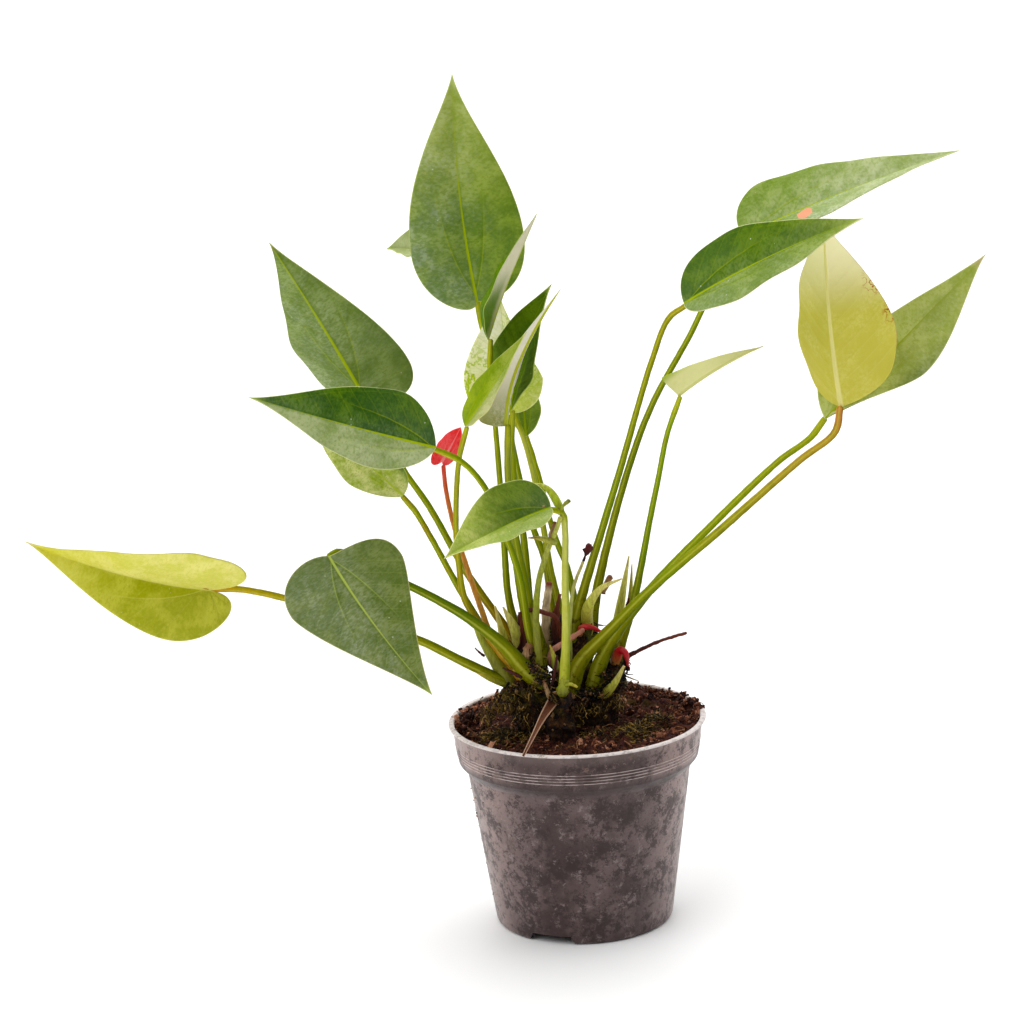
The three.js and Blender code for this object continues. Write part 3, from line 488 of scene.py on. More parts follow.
def smooth_route(places, step):
    """Points a step apart on the centripetal curve through the places, and the curve's length."""
    points = np.array(places, float)
    padded = np.vstack([2 * points[0] - points[1], points, 2 * points[-1] - points[-2]])
    t = np.linspace(0, 1, CURVE_SAMPLES, endpoint=False)[:, None]
    dense = []
    for before, start, end, after in zip(padded, padded[1:], padded[2:], padded[3:]):
        first, middle, last = (
            max(np.linalg.norm(b - a) ** 0.5, 1e-3) for a, b in ((before, start), (start, end), (end, after))
        )
        ahead = (end - start) / middle
        leave = ((start - before) / first - (end - before) / (first + middle) + ahead) * middle
        arrive = (ahead - (after - start) / (middle + last) + (after - end) / last) * middle
        cubic = (2 * t**3 - 3 * t**2 + 1) * start + (t**3 - 2 * t**2 + t) * leave
        dense.append(cubic + (3 * t**2 - 2 * t**3) * end + (t**3 - t**2) * arrive)
    dense = np.vstack([*dense, points[-1:]])
    gone = travelled(dense)
    wanted = np.linspace(0, gone[-1], max(5, round(gone[-1] / step)) + 1)
    return np.stack([np.interp(wanted, gone, dense[:, axis]) for axis in range(3)], 1), gone[-1]


def seen_route(places, step):
    return smooth_route([seen(place) for place in places], step)


def route_frames(route):
    """Unit vectors along, across and outward at each point of a route, turning as little as they can."""
    along = unit(np.gradient(route, axis=0))
    start = np.cross(along[0], TO_EYE)
    if np.linalg.norm(start) < 0.2:
        start = np.cross(along[0], RIGHT)
    across = [unit(start)]
    for direction in along[1:]:
        carried = across[-1] - direction * np.dot(across[-1], direction)
        across.append(unit(carried))
    across = np.array(across)
    return along, across, np.cross(across, along)


# The rounded end of a limb: its rings' angles, and its height as a share of the radius.
# A strand, which has few sides, has a pointed end.
CAP = dict(turns=(90, 60, 28), height=0.7)
STRAND_SIDES = 5
# Lumps on a limb: their size for the radius, the least size, and how fast they change round the limb
LUMPS = dict(spread=2.2, least=1, round=0.9)


def tube(skin, route, radii, sides, flat=1.0, rough=0.0, seed=0, **values):
    """Adds a closed round limb. flat narrows it towards the eye. The value "limb" holds the share of its
    length, the distance from its tip and the side, -1 left to 1 right."""
    count = len(route)
    radii, flats = np.broadcast_to(radii, (count,)), np.broadcast_to(flat, (count,))
    along, across, outward = route_frames(route)
    gone = travelled(route)
    cap_turns = CAP["turns"] if sides > STRAND_SIDES else CAP["turns"][:1]

    def cap(i, way, turns):
        for height, radius in ((math.sin(math.radians(a)), math.cos(math.radians(a))) for a in turns):
            yield i, route[i] + way * CAP["height"] * radii[i] * height * along[i], radii[i] * radius, gone[i]

    rings = [*cap(0, -1, cap_turns), *zip(range(count), route, radii, gone), *cap(-1, 1, cap_turns[::-1])]
    turns = around(sides)
    points, limb = [rings[0][1][None]], [[0, gone[-1], 0]]
    for i, centre, size, place in rings[1:-1]:
        spread = np.full(sides, size)
        if rough:
            shift = Vector((17.3 * seed, 0, 0)) + Vector(centre / (LUMPS["spread"] * size + LUMPS["least"]))
            spread = spread * [
                1 + rough * noise.noise(shift + Vector((*polar(LUMPS["round"], turn), 0))) for turn in turns
            ]
        points.append(
            centre
            + np.outer(spread * np.cos(turns) / np.sqrt(flats[i]), across[i])
            + np.outer(spread * np.sin(turns) * np.sqrt(flats[i]), outward[i])
        )
        limb += [[place / max(gone[-1], 1e-6), gone[-1] - place, math.cos(turn)] for turn in turns]
    points.append(rings[-1][1][None])
    limb.append([1, 0, 0])
    skin.add(np.vstack(points), closed_faces(len(rings) - 2, sides), limb=limb, **values)


STRIP_CELLS = 10


def strip(skin, route, widths, bend, thickness):
    """Adds a thin closed strip that wraps round its own length, by bend degrees to either side: hollow
    behind where bend is positive, hollow in front where it is negative. widths are half widths."""
    _, across, outward = route_frames(route)
    edge = np.linspace(-1, 1, STRIP_CELLS + 1)
    turns = np.radians(bend) * edge
    opening = abs(math.sin(turns[-1])) if abs(bend) < 90 else 1
    side = math.copysign(1, bend)
    points, limb = [], []
    for i, (centre, share) in enumerate(zip(route, np.linspace(0, 1, len(route)))):
        radius = widths[i] / opening
        thin = min(thickness, 0.6 * widths[i]) / 2
        for shift, order in ((thin, 1), (-thin, -1)):
            reach = radius + side * shift
            ring = centre + np.outer(reach * np.sin(np.abs(turns)) * np.sign(edge), across[i])
            ring = ring + np.outer(side * (reach * np.cos(turns) - radius), outward[i])
            points.append(ring[::order])
            limb += [[share, 0, place] for place in edge[::order]]
    loop = 2 * (STRIP_CELLS + 1)
    end = (len(route) - 1) * loop
    faces = [
        (low + k, low + (k + 1) % loop, low + loop + (k + 1) % loop, low + loop + k)
        for low in range(0, end, loop) for k in range(loop)
    ]
    for low, order in ((0, 1), (end, -1)):
        for k in range(STRIP_CELLS):
            faces.append((low + k, low + loop - 1 - k, low + loop - 2 - k, low + k + 1)[::order])
    skin.add(np.vstack(points), faces, limb=limb)


# Node materials

class Look:
    """A material whose nodes are added one by one. A value is a number, a node's output or a screen colour,
    (red, green, blue) from 0 to 255. paint() lays colours over one another."""

    def __init__(self, name):
        self.material = bpy.data.materials.new(name)
        self.material.use_nodes = True
        self.tree = self.material.node_tree
        self.shader = next(node for node in self.tree.nodes if node.type == "BSDF_PRINCIPLED")
        self.place = self.tree.nodes.new("ShaderNodeTexCoord").outputs["Object"]
        self.colour = None

    def put(self, socket, value):
        if isinstance(value, bpy.types.NodeSocket):
            self.tree.links.new(value, socket)
        elif socket.type == "RGBA":
            socket.default_value = tone(*value)
        else:
            socket.default_value = value

    def node(self, kind, inputs=(), **settings):
        node = self.tree.nodes.new(f"ShaderNode{kind}")
        for name, value in settings.items():
            setattr(node, name, value)
        for key, value in dict(inputs).items():
            self.put(node.inputs[key], value)
        return node

    def surface(self, roughness, height, depth, strength, **inputs):
        """The finished material, with bumps: a height of 0 to 1 that stands for a depth in millimetres."""
        bumps = self.node("Bump", {"Height": height, "Distance": depth * MM, "Strength": strength}).outputs[0]
        for name, value in dict(Base_Color=self.colour, Roughness=roughness, Normal=bumps, **inputs).items():
            self.put(self.shader.inputs[name.replace("_", " ")], value)
        return self.material

    def math(self, operation, *values):
        return self.node("Math", enumerate(values), operation=operation).outputs[0]

    def times(self, *values):
        return reduce(lambda first, second: self.math("MULTIPLY", first, second), values)

    def plus(self, *values):
        return reduce(lambda first, second: self.math("ADD", first, second), values)

    def absolute(self, value):
        return self.math("ABSOLUTE", value)

    def from_whole(self, value):
        """How far a value is from the nearest whole number."""
        return self.absolute(self.math("SUBTRACT", self.math("FRACT", self.plus(value, 0.5)), 0.5))

    def field(self, name):
        """The three numbers of a value at the points."""
        return self.split(self.node("Attribute", attribute_name=name).outputs["Vector"])

    def split(self, vector):
        return self.node("SeparateXYZ", {0: vector}).outputs[:]

    def noise(self, size, detail=3, place=None, rough=0.55):
        """Cloudy noise, 0 to 1, with lumps of a size in millimetres."""
        inputs = {"Vector": place or self.place, "Scale": 1 / (size * MM)}
        return self.node("TexNoise", {**inputs, "Detail": detail, "Roughness": rough}).outputs["Fac"]

    def flecks(self, gap, width, chosen, place=None):
        """Round flecks, 0 to 1, on those of the points scattered a gap apart whose chance is in a range."""
        node = self.node("TexVoronoi", {"Vector": place or self.place, "Scale": 1 / (gap * MM)})
        chance = self.node("SeparateColor", {0: node.outputs["Color"]}).outputs[0]
        return self.times(self.near(node.outputs["Distance"], 0, width), self.step(chance, *chosen))

    def stretched(self, *scale):
        """The place in the frame with its axes scaled, for streaks."""
        return self.node("Mapping", {"Vector": self.place, "Scale": scale}).outputs[0]

    def step(self, value, low, high, start=0.0, end=1.0):
        """Goes smoothly from start to end while the value goes from low to high."""
        inputs = {"Value": value, "From Min": low, "From Max": high, "To Min": start, "To Max": end}
        return self.node("MapRange", inputs, interpolation_type="SMOOTHSTEP").outputs[0]

    def near(self, value, centre, width, strength=1.0):
        """strength where the value is at the centre, and nothing a width away."""
        return self.step(self.absolute(self.math("SUBTRACT", value, centre)), 0, width, strength, 0)

    def mix(self, share, first, second, way="MIX"):
        node = self.node("Mix", data_type="RGBA", blend_type=way)
        for key, value in (("Factor", share), (6, first), (7, second)):
            self.put(node.inputs[key], value)
        return node.outputs[2]

    def paint(self, share, colour):
        """Lays a colour over what is there, by a share of 0 to 1."""
        self.colour = self.mix(share, self.colour, colour)

    def darken(self, share, colour):
        """Multiplies what is there by a colour, by a share of 0 to 1."""
        self.paint(share, self.mix(1, self.colour, colour, "MULTIPLY"))

    def blend(self, value, *stops):
        """A colour that runs through the stops (place, colour) as the value goes from 0 to 1."""
        node = self.node("ValToRGB", {0: value})
        ramp = node.color_ramp
        while len(ramp.elements) < len(stops):
            ramp.elements.new(0.5)
        for element, (place, colour) in zip(ramp.elements, stops):
            element.position = place
            element.color = tone(*colour)
        return node.outputs[0]


# Blades

VEINS = dict(spacing=0.085, first=0.05, angle=62, tip_angle=46, bend=0.16, lobe_angles=(150, 122, 96))
BASAL_VEIN = dict(start=0.03, angle=27, bow=0.5, width=0.8)
RIB = dict(foot=1.05, tip=0.35)
# Waves and lumps of the sheet, and where the veins' relief fades out, in millimetres
SWELL = dict(run_in=6, fade=16, waves=17, shear=2.4, lump=19, lumps=1.3, beside_rib=4, beside_rim=3)
# Height of the pillows between the veins, of the veins and of the midrib
UPPER = dict(pillow=0.8, groove=-0.5, basal=-1.1, rib=0.12)
UNDER = dict(pillow=0, groove=0.7, basal=1.2, rib=0.512)
LEAF_GRAIN = dict(wave=0.7, quilt=0.32)
SPATHE_GRAIN = dict(wave=0.4, quilt=0.1)


def margin(leaf, half, length, share):
    """The outline of a half, along and across the midrib: round the lobe, then in to the tip."""
    width = leaf["width"][half]
    belly = leaf["belly"][half] * length
    rest = length - belly
    turn = BLADE["lobe_share"]
    lobe_corners = (
        (0, 0), (-leaf["lobe"][half], leaf["notch"][half] * width), (-leaf["heel"][half], width),
        (belly, width),
    )
    tip_corners = (
        (belly, width), (belly + leaf["full"][half] * rest, width),
        (belly + BLADE["neck_place"] * rest, leaf["neck"][half] * width), (length, 0),
    )
    edge = np.empty((len(share), 2))
    for corners, chosen, t in (
        (lobe_corners, share <= turn, share / turn),
        (tip_corners, share > turn, (share - turn) / (1 - turn)),
    ):
        t = t[chosen]
        weights = np.stack([(1 - t) ** 3, 3 * (1 - t) ** 2 * t, 3 * (1 - t) * t**2, t**3], 1)
        edge[chosen] = weights @ np.array(corners)
    return edge


class Midrib:
    """The curve from a leaf's base to its tip, and the leaf's frame at a distance along it."""

    def __init__(self, leaf):
        self.base, middle, self.tip = (seen(leaf[key]) for key in ("base", "middle", "tip"))
        self.control = 2 * middle - (self.base + self.tip) / 2
        self.length = travelled(self.point(np.linspace(0, 1, 201)[:, None]))[-1]

    def point(self, t):
        return (1 - t) ** 2 * self.base + 2 * (1 - t) * t * self.control + t**2 * self.tip

    def at(self, x):
        x = np.asarray(x, float)[..., None]
        t = np.maximum(0, x / self.length)
        along = unit((1 - t) * (self.control - self.base) + t * (self.tip - self.control))
        centre = self.point(t) + along * np.minimum(x, 0)
        across = unit(np.cross(along, TO_EYE))
        return centre, across, np.cross(across, along)


def vein_count(leaf, half, length, x, y):
    """A number that is whole along each side vein and runs evenly in between."""
    starts = [0.0] * len(VEINS["lobe_angles"])
    angles = list(VEINS["lobe_angles"])
    place = VEINS["first"]
    while place < 1:
        starts.append(place * length)
        angles.append(VEINS["angle"] + (VEINS["tip_angle"] - VEINS["angle"]) * place)
        place += VEINS["spacing"]
    spacing = VEINS["spacing"] * length
    bend = VEINS["bend"] * y**2 / leaf["width"][half]
    lines = [start + y / math.tan(math.radians(angle)) + bend for start, angle in zip(starts, angles)]
    count = (x - lines[0]) / spacing
    for i, (low, high) in enumerate(zip(lines, lines[1:])):
        count = np.where(x >= low, i + np.minimum(1, (x - low) / np.maximum(high - low, 1e-3)), count)
    return np.where(x > lines[-1], len(lines) - 1 + (x - lines[-1]) / spacing, count)


def basal_distance(leaf, half, length, x, y):
    """Signed distance to the strong vein that leaves the midrib near the base and arches to the tip."""
    angle = math.radians(BASAL_VEIN["angle"])
    start = BASAL_VEIN["start"] * length
    bow = BASAL_VEIN["bow"] * leaf["width"][half]
    height = bow * (1 - np.exp(-np.maximum(x - start, 0) * math.tan(angle) / bow))
    return (y - height) * math.cos(angle) + np.maximum(start - x, 0)


def grid_normals(grid):
    return unit(np.cross(np.gradient(grid, axis=0), np.gradient(grid, axis=1)))


def blade_half(leaf, midrib, half, share, foot, spread):
    """Points and values of a half: rows from base to tip, columns from the midrib out to the margin."""
    edge = margin(leaf, half, midrib.length, share)
    x = foot[:, None] + (edge[:, :1] - foot[:, None]) * spread
    y = edge[:, 1:] * spread
    along_edge = unit(np.gradient(edge, axis=0))
    rim = np.abs((edge[:, :1] - x) * along_edge[:, 1:] - (edge[:, 1:] - y) * along_edge[:, :1])
    centre, across, outward = midrib.at(x)
    side = 1 if half else -1
    width = leaf["width"][half]
    angle = np.radians(leaf["lift"][half] + leaf["curl"] * y / width / 2)[..., None]
    return dict(
        points=centre + side * y[..., None] * np.cos(angle) * across + y[..., None] * np.sin(angle) * outward,
        x=x, y=y, rim=rim, across=side * y / width, count=vein_count(leaf, half, midrib.length, x, y),
        basal=basal_distance(leaf, half, midrib.length, x, y),
    )


def relief(grain, length, x, y, rim, count, basal, fade):
    """Heights of the upper face and the underside over the middle of the sheet."""
    to_vein = np.abs(count - np.round(count))
    quilted = np.clip(y / SWELL["beside_rib"], 0, 1) * np.clip(rim / SWELL["beside_rim"], 0, 1)
    rib_width = RIB["foot"] + (RIB["tip"] - RIB["foot"]) * np.clip(x / length, 0, 1)
    forms = dict(
        pillow=grain["quilt"] * (0.5 - 0.5 * np.cos(2 * math.pi * count)) * quilted,
        groove=grain["quilt"] * np.exp(-((to_vein / 0.11) ** 2)) * quilted,
        basal=grain["quilt"] * np.exp(-((basal / BASAL_VEIN["width"]) ** 2))
        * np.clip(1.15 - x / length * 1.6, 0, 1) * np.clip(y / 2, 0, 1),
        rib=np.exp(-((y / rib_width) ** 2)) * fade,
    )
    half_thick = BLADE["thickness"] / 2 * np.sqrt(1 - (1 - np.clip(rim / BLADE["thickness"], 0, 1)) ** 2)
    return [
        np.maximum(half_thick + sum(face[key] * form for key, form in forms.items()), 0.04)[..., None]
        for face in (UPPER, UNDER)
    ]


def sheet_faces(rows, width, first, turned):
    """Faces of one side of a sheet, whose points start at first, after the two ends and the two rims."""
    def index(row, column):
        if row < 0 or row >= rows:
            return 0 if row < 0 else 1
        if column in (0, width - 1):
            return 2 + row + (rows if column else 0)
        return first + row * (width - 2) + column - 1

    faces = []
    for row in range(-1, rows):
        for column in range(width - 1):
            corners = [index(row + down, column + on) for down, on in ((0, 0), (1, 0), (1, 1), (0, 1))]
            face = [corner for i, corner in enumerate(corners) if corner != corners[i - 1]]
            if len(face) > 2:
                faces.append(face if turned else face[::-1])
    return faces


def blade(leaf, grain):
    """Both faces of a blade as one closed skin, with midrib, veins, quilting and a waved margin."""
    midrib = Midrib(leaf)
    length = midrib.length
    rows, columns = BLADE["rows"] - 1, BLADE["columns"]
    share = np.arange(1, rows + 1) / (rows + 1)
    foot = length * share ** BLADE["foot_power"]
    even = np.arange(1, columns + 1) / columns
    spread = 0.5 * even + 0.25 * (1 - np.cos(math.pi * even))
    left, right = (blade_half(leaf, midrib, half, share, foot, spread) for half in (0, 1))
    spine, _, outward = midrib.at(foot)
    zero = np.zeros((rows, 1))
    middle = dict(
        points=spine[:, None], x=foot[:, None], y=zero, across=zero, count=zero + 0.5, basal=zero - 5,
        rim=np.minimum(left["rim"][:, :1], right["rim"][:, :1]),
    )
    grid, x, y, across, count, basal, rim = (
        np.concatenate([left[key][:, ::-1], value, right[key]], 1) for key, value in middle.items()
    )

    normals = grid_normals(grid)
    flip = np.sign((normals[:, columns] * outward).sum(-1).sum())
    fade = np.clip(np.minimum(x + SWELL["run_in"], length - x) / SWELL["fade"], 0, 1)
    seed = sum(ord(letter) for letter in leaf["name"])
    waves = np.sin(x / length * SWELL["waves"] + seed + SWELL["shear"] * across) * np.abs(across) ** 2
    shift = Vector((seed, 0, 0))
    lumps = [noise.noise(Vector(point / SWELL["lump"]) + shift) for point in grid.reshape(-1, 3)]
    lumps = SWELL["lumps"] * np.reshape(lumps, x.shape) * np.clip(np.abs(across) * 3, 0, 1)
    grid = grid + flip * normals * (grain["wave"] * fade * (waves + lumps))[..., None]
    normals = flip * grid_normals(grid)
    heights = relief(grain, length, x, y, rim, count, basal, fade)
    front, back = heights[:: leaf["face"]]

    def skinned(ends, middle, front, back):
        """Rows of three numbers: the two ends, the rims, the inside of the front and that of the back."""
        inner = (face[:, 1:-1].reshape(-1, 3) for face in (front, back))
        return np.vstack([ends, middle[:, 0], middle[:, -1], *inner])

    points = skinned([midrib.base, midrib.tip], grid, grid + normals * front, grid - normals * back)
    width = 2 * columns + 1
    first_front, body = 2 + 2 * rows, rows * (width - 2)
    faces = sheet_faces(rows, width, first_front, flip > 0)
    faces += sheet_faces(rows, width, first_front + body, flip < 0)
    sides = np.zeros((len(points), 3))
    sides[first_front:, 0] = np.repeat([leaf["face"], -leaf["face"]], body)
    skin = Skin()
    skin.add(
        points, faces, side=sides,
        blade=skinned([[0.5, 0, 0], [0.5, 0, 0]], *[np.stack([count, y, rim], -1)] * 3),
        place=skinned([[0, 0, -5], [1, 0, -5]], *[np.stack([x / length, across, basal], -1)] * 3),
    )
    return skin


# Screen colours
# The first colour is a painted sheen: the studio light's pale reflection on the leaves, laid on as colour.
PAINTED_SHEEN = (228, 232, 224)
SPECK = (232, 236, 220)
# What sets each leaf's looks apart from the plain green ones. lean and run change dark and light across
# the blade and along it; on folded blades lean gives the two halves a lit and a shaded copy of one green,
# painted light and shade, as on far_left, left_middle, right_middle and front_small. sheen is the strength
# of a painted sheen at the left and the right rim. A mark is ((share, across, stretch), size, colour), and
# a scribble is ((share, across), half widths of its area, strength, thickness of its lines).
GREEN = dict(
    dark=(80, 112, 20), light=(116, 140, 52), under=(150, 162, 96), rib=(152, 168, 40), edge=(186, 196, 110),
    tip=(150, 168, 84), veins=0.1, rib_width=1, sheen=(0.025, 0.025), specks=0.6, speck_gap=5.5,
    under_run=(0.5, 0.9), marks=(), scribbles=(), gloss=0.38, ior=1.1,
)
LEAF_TONES = {
    "top": dict(
        dark=(88, 116, 18), light=(122, 144, 50), tip=(176, 188, 116), sheen=(0.24, 0.02),
        run=(0.3, 0.8, ((128, 146, 54), (156, 168, 84))), ior=1.06,
        marks=(((0.29, 0.62, 1.6), 0.02, (186, 186, 20)),),
    ),
    "top_rear": dict(dark=(140, 152, 96), light=(166, 174, 126)),
    "left_upper": dict(
        dark=(94, 116, 42), light=(124, 142, 74), tip=(132, 128, 74), sheen=(0.18, 0.06),
        lean=(0.5, 0.95, ((84, 108, 30), (104, 122, 50))), marks=(((0.66, -0.02, 1.0), 0.02, (120, 96, 40)),),
    ),
    "left_middle": dict(
        dark=(120, 138, 74), light=(154, 164, 112), edge=(206, 212, 150), sheen=(0.14, 0.0),
        lean=(-0.06, 0.04, ((56, 84, 4), (84, 112, 22))), ior=1.05,
    ),
    "left_rear": dict(
        dark=(140, 160, 46), light=(204, 206, 136), rib=(176, 190, 70), sheen=(0.02, 0.02),
        lean=(0.5, 0.95, ((64, 98, 14), (100, 130, 34))),
    ),
    "far_left": dict(
        dark=(156, 160, 20), light=(186, 186, 66), under=(190, 188, 118), rib=(206, 202, 104),
        edge=(206, 202, 118), tip=(220, 200, 146), speck_gap=3.6, veins=0.1, sheen=(0.0, 0.0), rib_width=0.6,
        run=(0.4, 0.9, ((200, 195, 66), (212, 208, 96))),
        lean=(-0.04, 0.04, ((204, 202, 88), (222, 216, 124))),
        marks=(((0.02, 0.05, 1.0), 0.035, (150, 80, 30)),),
    ),
    "hanging": dict(
        dark=(84, 102, 36), light=(112, 124, 64), rib=(160, 176, 84), edge=(196, 192, 132), rib_width=0.8,
        sheen=(0.05, 0.2),
    ),
    "right_top": dict(
        dark=(106, 132, 40), light=(142, 158, 84), edge=(206, 212, 156), sheen=(0.02, 0.3),
        run=(0.15, 0.6, ((134, 152, 80), (168, 178, 126))), marks=(((0.29, 0.5, 8.0), 0.3, (222, 150, 118)),),
        specks=0.9, speck_gap=4,
    ),
    "right_middle": dict(
        dark=(70, 98, 2), light=(94, 120, 22), edge=(222, 220, 170), specks=0.9, sheen=(0.0, 0.14),
        lean=(-0.04, 0.06, ((98, 122, 42), (126, 144, 68))), ior=1.05,
        run=(0.5, 1.1, ((116, 134, 50), (142, 156, 80))),
    ),
    "right_yellow": dict(
        dark=(178, 174, 72), light=(210, 204, 112), under=(194, 186, 80), rib=(220, 212, 134),
        edge=(196, 150, 92), tip=(240, 226, 180), rib_width=1.5, veins=0.1, specks=0,
        under_tip=(244, 232, 182), ink=(164, 84, 34),
        scribbles=(((0.68, 0.72), (0.1, 0.26), 1.8, 0.045), ((0.49, 0.93), (0.08, 0.18), 1.8, 0.045)),
    ),
    "far_right": dict(
        dark=(146, 158, 68), light=(176, 186, 102), edge=(208, 210, 156), tip=(206, 178, 146),
        sheen=(0.02, 0.12), run=(0.35, 0.8, ((148, 162, 70), (172, 180, 98))),
        lean=(0.55, 0.95, ((96, 116, 36), (124, 138, 58))),
    ),
    "front_small": dict(
        dark=(122, 142, 52), light=(150, 164, 84), edge=(206, 210, 140), tip=(184, 186, 110),
        lean=(-0.04, 0.03, ((74, 98, 18), (104, 124, 46))), sheen=(0.14, 0.0), ior=1.06,
        run=(0.3, 0.8, ((142, 162, 62), (180, 188, 104))), marks=(((0.06, 0.1, 1.5), 0.04, (214, 150, 134)),),
    ),
    "folded": dict(
        dark=(78, 112, 0), light=(100, 130, 14), under=(164, 166, 116), sheen=(0.0, 0.0), veins=0.06,
        under_tip=(198, 194, 166), under_run=(0.25, 0.7),
        under_edge=((84, 116, 8), (0.04, 0.3), (0.36, 0.72)), ior=1.05,
    ),
    "netted": dict(
        dark=(196, 208, 84), light=(228, 230, 160), under=(228, 230, 176), rib=(170, 190, 20),
        edge=(222, 224, 160), veins=0.35, sheen=(0.05, 0.05),
        run=(0.15, 0.6, ((232, 232, 176), (244, 242, 210))), ink=(168, 192, 20),
        scribbles=(((0.1, -0.7), (0.7, 1.3), 1.6, 0.09), ((0.6, 0.6), (0.7, 0.9), 1.4, 0.08)),
    ),
    "dark": dict(
        dark=(80, 108, 14), light=(100, 126, 32), sheen=(0.01, 0.01), ior=1.05,
        lean=(0.2, 0.6, ((72, 98, 14), (90, 114, 26))),
    ),
    "young": dict(
        dark=(126, 150, 0), light=(150, 168, 40), under=(196, 192, 160), edge=(204, 202, 130),
        sheen=(0.0, 0.03), lean=(-0.2, 0.5, ((160, 166, 96), (190, 190, 140))),
        run=(0.3, 0.8, ((116, 140, 20), (150, 164, 70))),
    ),
    "grey": dict(
        dark=(190, 186, 150), light=(206, 202, 174), under=(140, 144, 84), under_tip=(216, 212, 194),
        under_run=(0.0, 0.42), edge=(196, 194, 130), rib=(170, 176, 60), veins=0.0, specks=0,
    ),
    "rear_lobe": dict(dark=(96, 122, 24), light=(122, 144, 56)),
    "right_small": dict(
        dark=(150, 166, 50), light=(200, 200, 120), under=(214, 212, 150), edge=(140, 164, 20),
        rib=(200, 200, 130), under_edge=((150, 172, 30), (0.6, 1.0), (2, 3)),
    ),
}
SPATHE_TONES = dict(
    dark=(222, 34, 44), light=(240, 84, 88), under=(214, 70, 74), rib=(244, 132, 136), edge=(244, 140, 142),
    tip=(220, 50, 56), specks=0, veins=0.3, gloss=0.26, sheen=(0.02, 0.06),
)
LEAF_SLOTS = {
    "far_left": "leaf_yellow", "right_yellow": "leaf_yellow", "grey": "leaf_underside",
    "netted": "leaf_young", "left_rear": "leaf_young", "young": "leaf_young", "right_small": "leaf_young",
}
# Wrinkles: how far the noise moves along the whole midrib, for each millimetre beside it and across a half
WRINKLES = dict(along=0.11, beside=0.00042, across=0.012)


